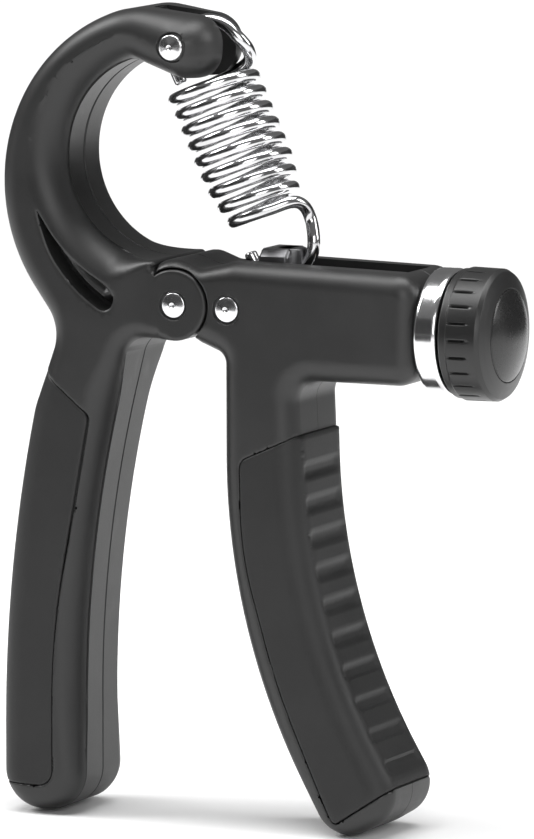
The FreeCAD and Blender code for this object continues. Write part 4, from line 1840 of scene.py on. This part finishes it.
# Name, place and size of each card and light, in metres, and the power of each light in watts
CARDS = (
    ("dark_low", (-0.17, -0.45, 0.0), (0.7, 0.09)),
    ("dark_high", (-0.17, -0.45, 0.185), (0.7, 0.25)),
    ("dark_right", (0.42, 0.72, 0.15), (0.9, 0.39)),
    ("dark_left", (-0.72, 0.2, 0.15), (0.9, 0.39)),
)
LIGHTS = (
    ("key_soft", (-1.15, -0.35, 1.15), (0.7, 0.7), 18.0),
    ("fill_soft", (0.9, -1.3, 0.55), (0.9, 0.9), 7.0),
    ("side_soft", (1.35, 0.35, 0.75), (0.5, 0.9), 8.0),
    ("top_soft", (0.1, -0.1, 1.5), (1.6, 0.9), 30.0),
)


@dataclass
class Studio:
    """Pale floor, soft lights and the camera.

    Attributes:
        azimuth: camera's turn round the object, in degrees.
        elevation: its height above the horizon.
        distance: metres from the aim to the camera.
        aim: point in the frame that the picture's centre shows.
        tall: height of the picture at the aim, in metres.
        dark: tone of the cards.
        air: strength of the even light all round.
    """

    azimuth: float = 25.0
    elevation: float = 7.5
    distance: float = 1.6
    aim: Triple = (0.04243, 0.0, 0.03229)
    tall: float = 0.16193
    dark: float = 0.02
    air: float = 0.16

    def camera(self) -> None:
        """Long lens at the photograph's angle."""
        a, e = math.radians(self.azimuth), math.radians(self.elevation)
        away = Vector((math.sin(a) * math.cos(e), -math.cos(a) * math.cos(e), math.sin(e)))
        data = bpy.data.cameras.new("camera")
        data.sensor_fit = "VERTICAL"
        data.sensor_height = 36.0
        data.lens = 36.0 * self.distance / self.tall
        data.clip_start, data.clip_end = 0.05, 30.0
        camera = linked("camera", data)
        camera.location = Vector(self.aim) + away * self.distance
        camera.rotation_euler = away.to_track_quat("Z", "Y").to_euler()
        bpy.context.scene.camera = camera

    def light(self, name: str, place: Triple, size: Pair, power: float) -> None:
        """Rectangular soft light that faces the aim."""
        data = bpy.data.lights.new(name, "AREA")
        data.shape = "RECTANGLE"
        data.size, data.size_y = size
        data.energy = power
        lamp = linked(name, data)
        lamp.location = place
        away = Vector(place) - Vector(self.aim)
        lamp.rotation_euler = away.to_track_quat("Z", "Y").to_euler()

    def floor(self) -> None:
        """Floor that curves up behind the object."""
        book = Book("pale_paper")
        tone = book.noise(book.place(), 3.0, 2.0)
        white = book.mix(tone, (0.88,) * 3, (0.90,) * 3)
        paint = book.surface({"Base Color": white, "Roughness": 0.9})
        bend = np.radians(np.linspace(-90, -45, 9))
        level = CAD_BOX[0][2] - 0.0004
        depth = np.concatenate([np.linspace(-6.0, 0.8, 8), 0.8 + 0.5 * np.cos(bend)[1:]])
        rise = np.concatenate([np.zeros(8), 0.5 + 0.5 * np.sin(bend)[1:]]) + level
        cols = 7
        across, along = np.meshgrid(np.linspace(-5, 5, cols), depth)
        points = np.stack([across, along, np.repeat(rise[:, None], cols, 1)], -1)
        i, j = np.meshgrid(np.arange(len(depth) - 1), np.arange(cols - 1), indexing="ij")
        low, high = i * cols + j, (i + 1) * cols + j
        faces = np.stack([low, low + 1, high + 1, high], -1).reshape(-1, 4)
        mesh = bpy.data.meshes.new("floor")
        mesh.from_pydata(points.reshape(-1, 3).tolist(), [], faces.tolist())
        mesh.polygons.foreach_set("use_smooth", np.ones(len(mesh.polygons), bool))
        mesh.materials.append(paint)
        floor = linked("floor", mesh)

    def card(self, name: str, place: Triple, size: Pair) -> None:
        """Upright card for the bright metal to mirror.

        It faces the object. It isn't seen by the camera and casts no shadow, so that it hides
        nothing in any view.
        """
        book = Book(f"{name}_paper")
        paint = book.surface({"Base Color": (*(self.dark,) * 3, 1.0), "Roughness": 0.9})
        w, h = size[0] / 2, size[1] / 2
        mesh = bpy.data.meshes.new(name)
        mesh.from_pydata([(-w, -h, 0), (w, -h, 0), (w, h, 0), (-w, h, 0)], [], [(0, 1, 2, 3)])
        away = Vector(place) - Vector((self.aim[0], self.aim[1], place[2]))
        turn = away.to_track_quat("Z", "Y").to_matrix().to_4x4()
        mesh.transform(Matrix.Translation(place) @ turn)
        mesh.materials.append(paint)
        card = linked(name, mesh)
        card.visible_camera = card.visible_shadow = False

    def world(self) -> None:
        """Even surroundings."""
        world = bpy.data.worlds.new("studio_air")
        world.use_nodes = True
        world.node_tree.nodes["Background"].inputs["Color"].default_value = (1.0, 1.0, 1.0, 1.0)
        world.node_tree.nodes["Background"].inputs["Strength"].default_value = self.air
        bpy.context.scene.world = world

    def build(self) -> None:
        """Sets up the whole studio."""
        bpy.context.scene.view_settings.view_transform = "Standard"
        self.floor()
        self.world()
        for name, place, size in CARDS:
            self.card(name, place, size)
        for name, place, size, power in LIGHTS:
            self.light(name, place, size, power)
        self.camera()


def main() -> None:
    """Builds every sub-assembly in turn."""
    logging.basicConfig(level=logging.INFO, format="%(name)s: %(message)s")
    for kind in (PalmLever, FingerLever, Rivets, CoilSpring, Adjuster, SmallParts, Studio):
        kind().build()
        LOG.info("%s done", kind.__name__)


if __name__ == "__main__":
    main()
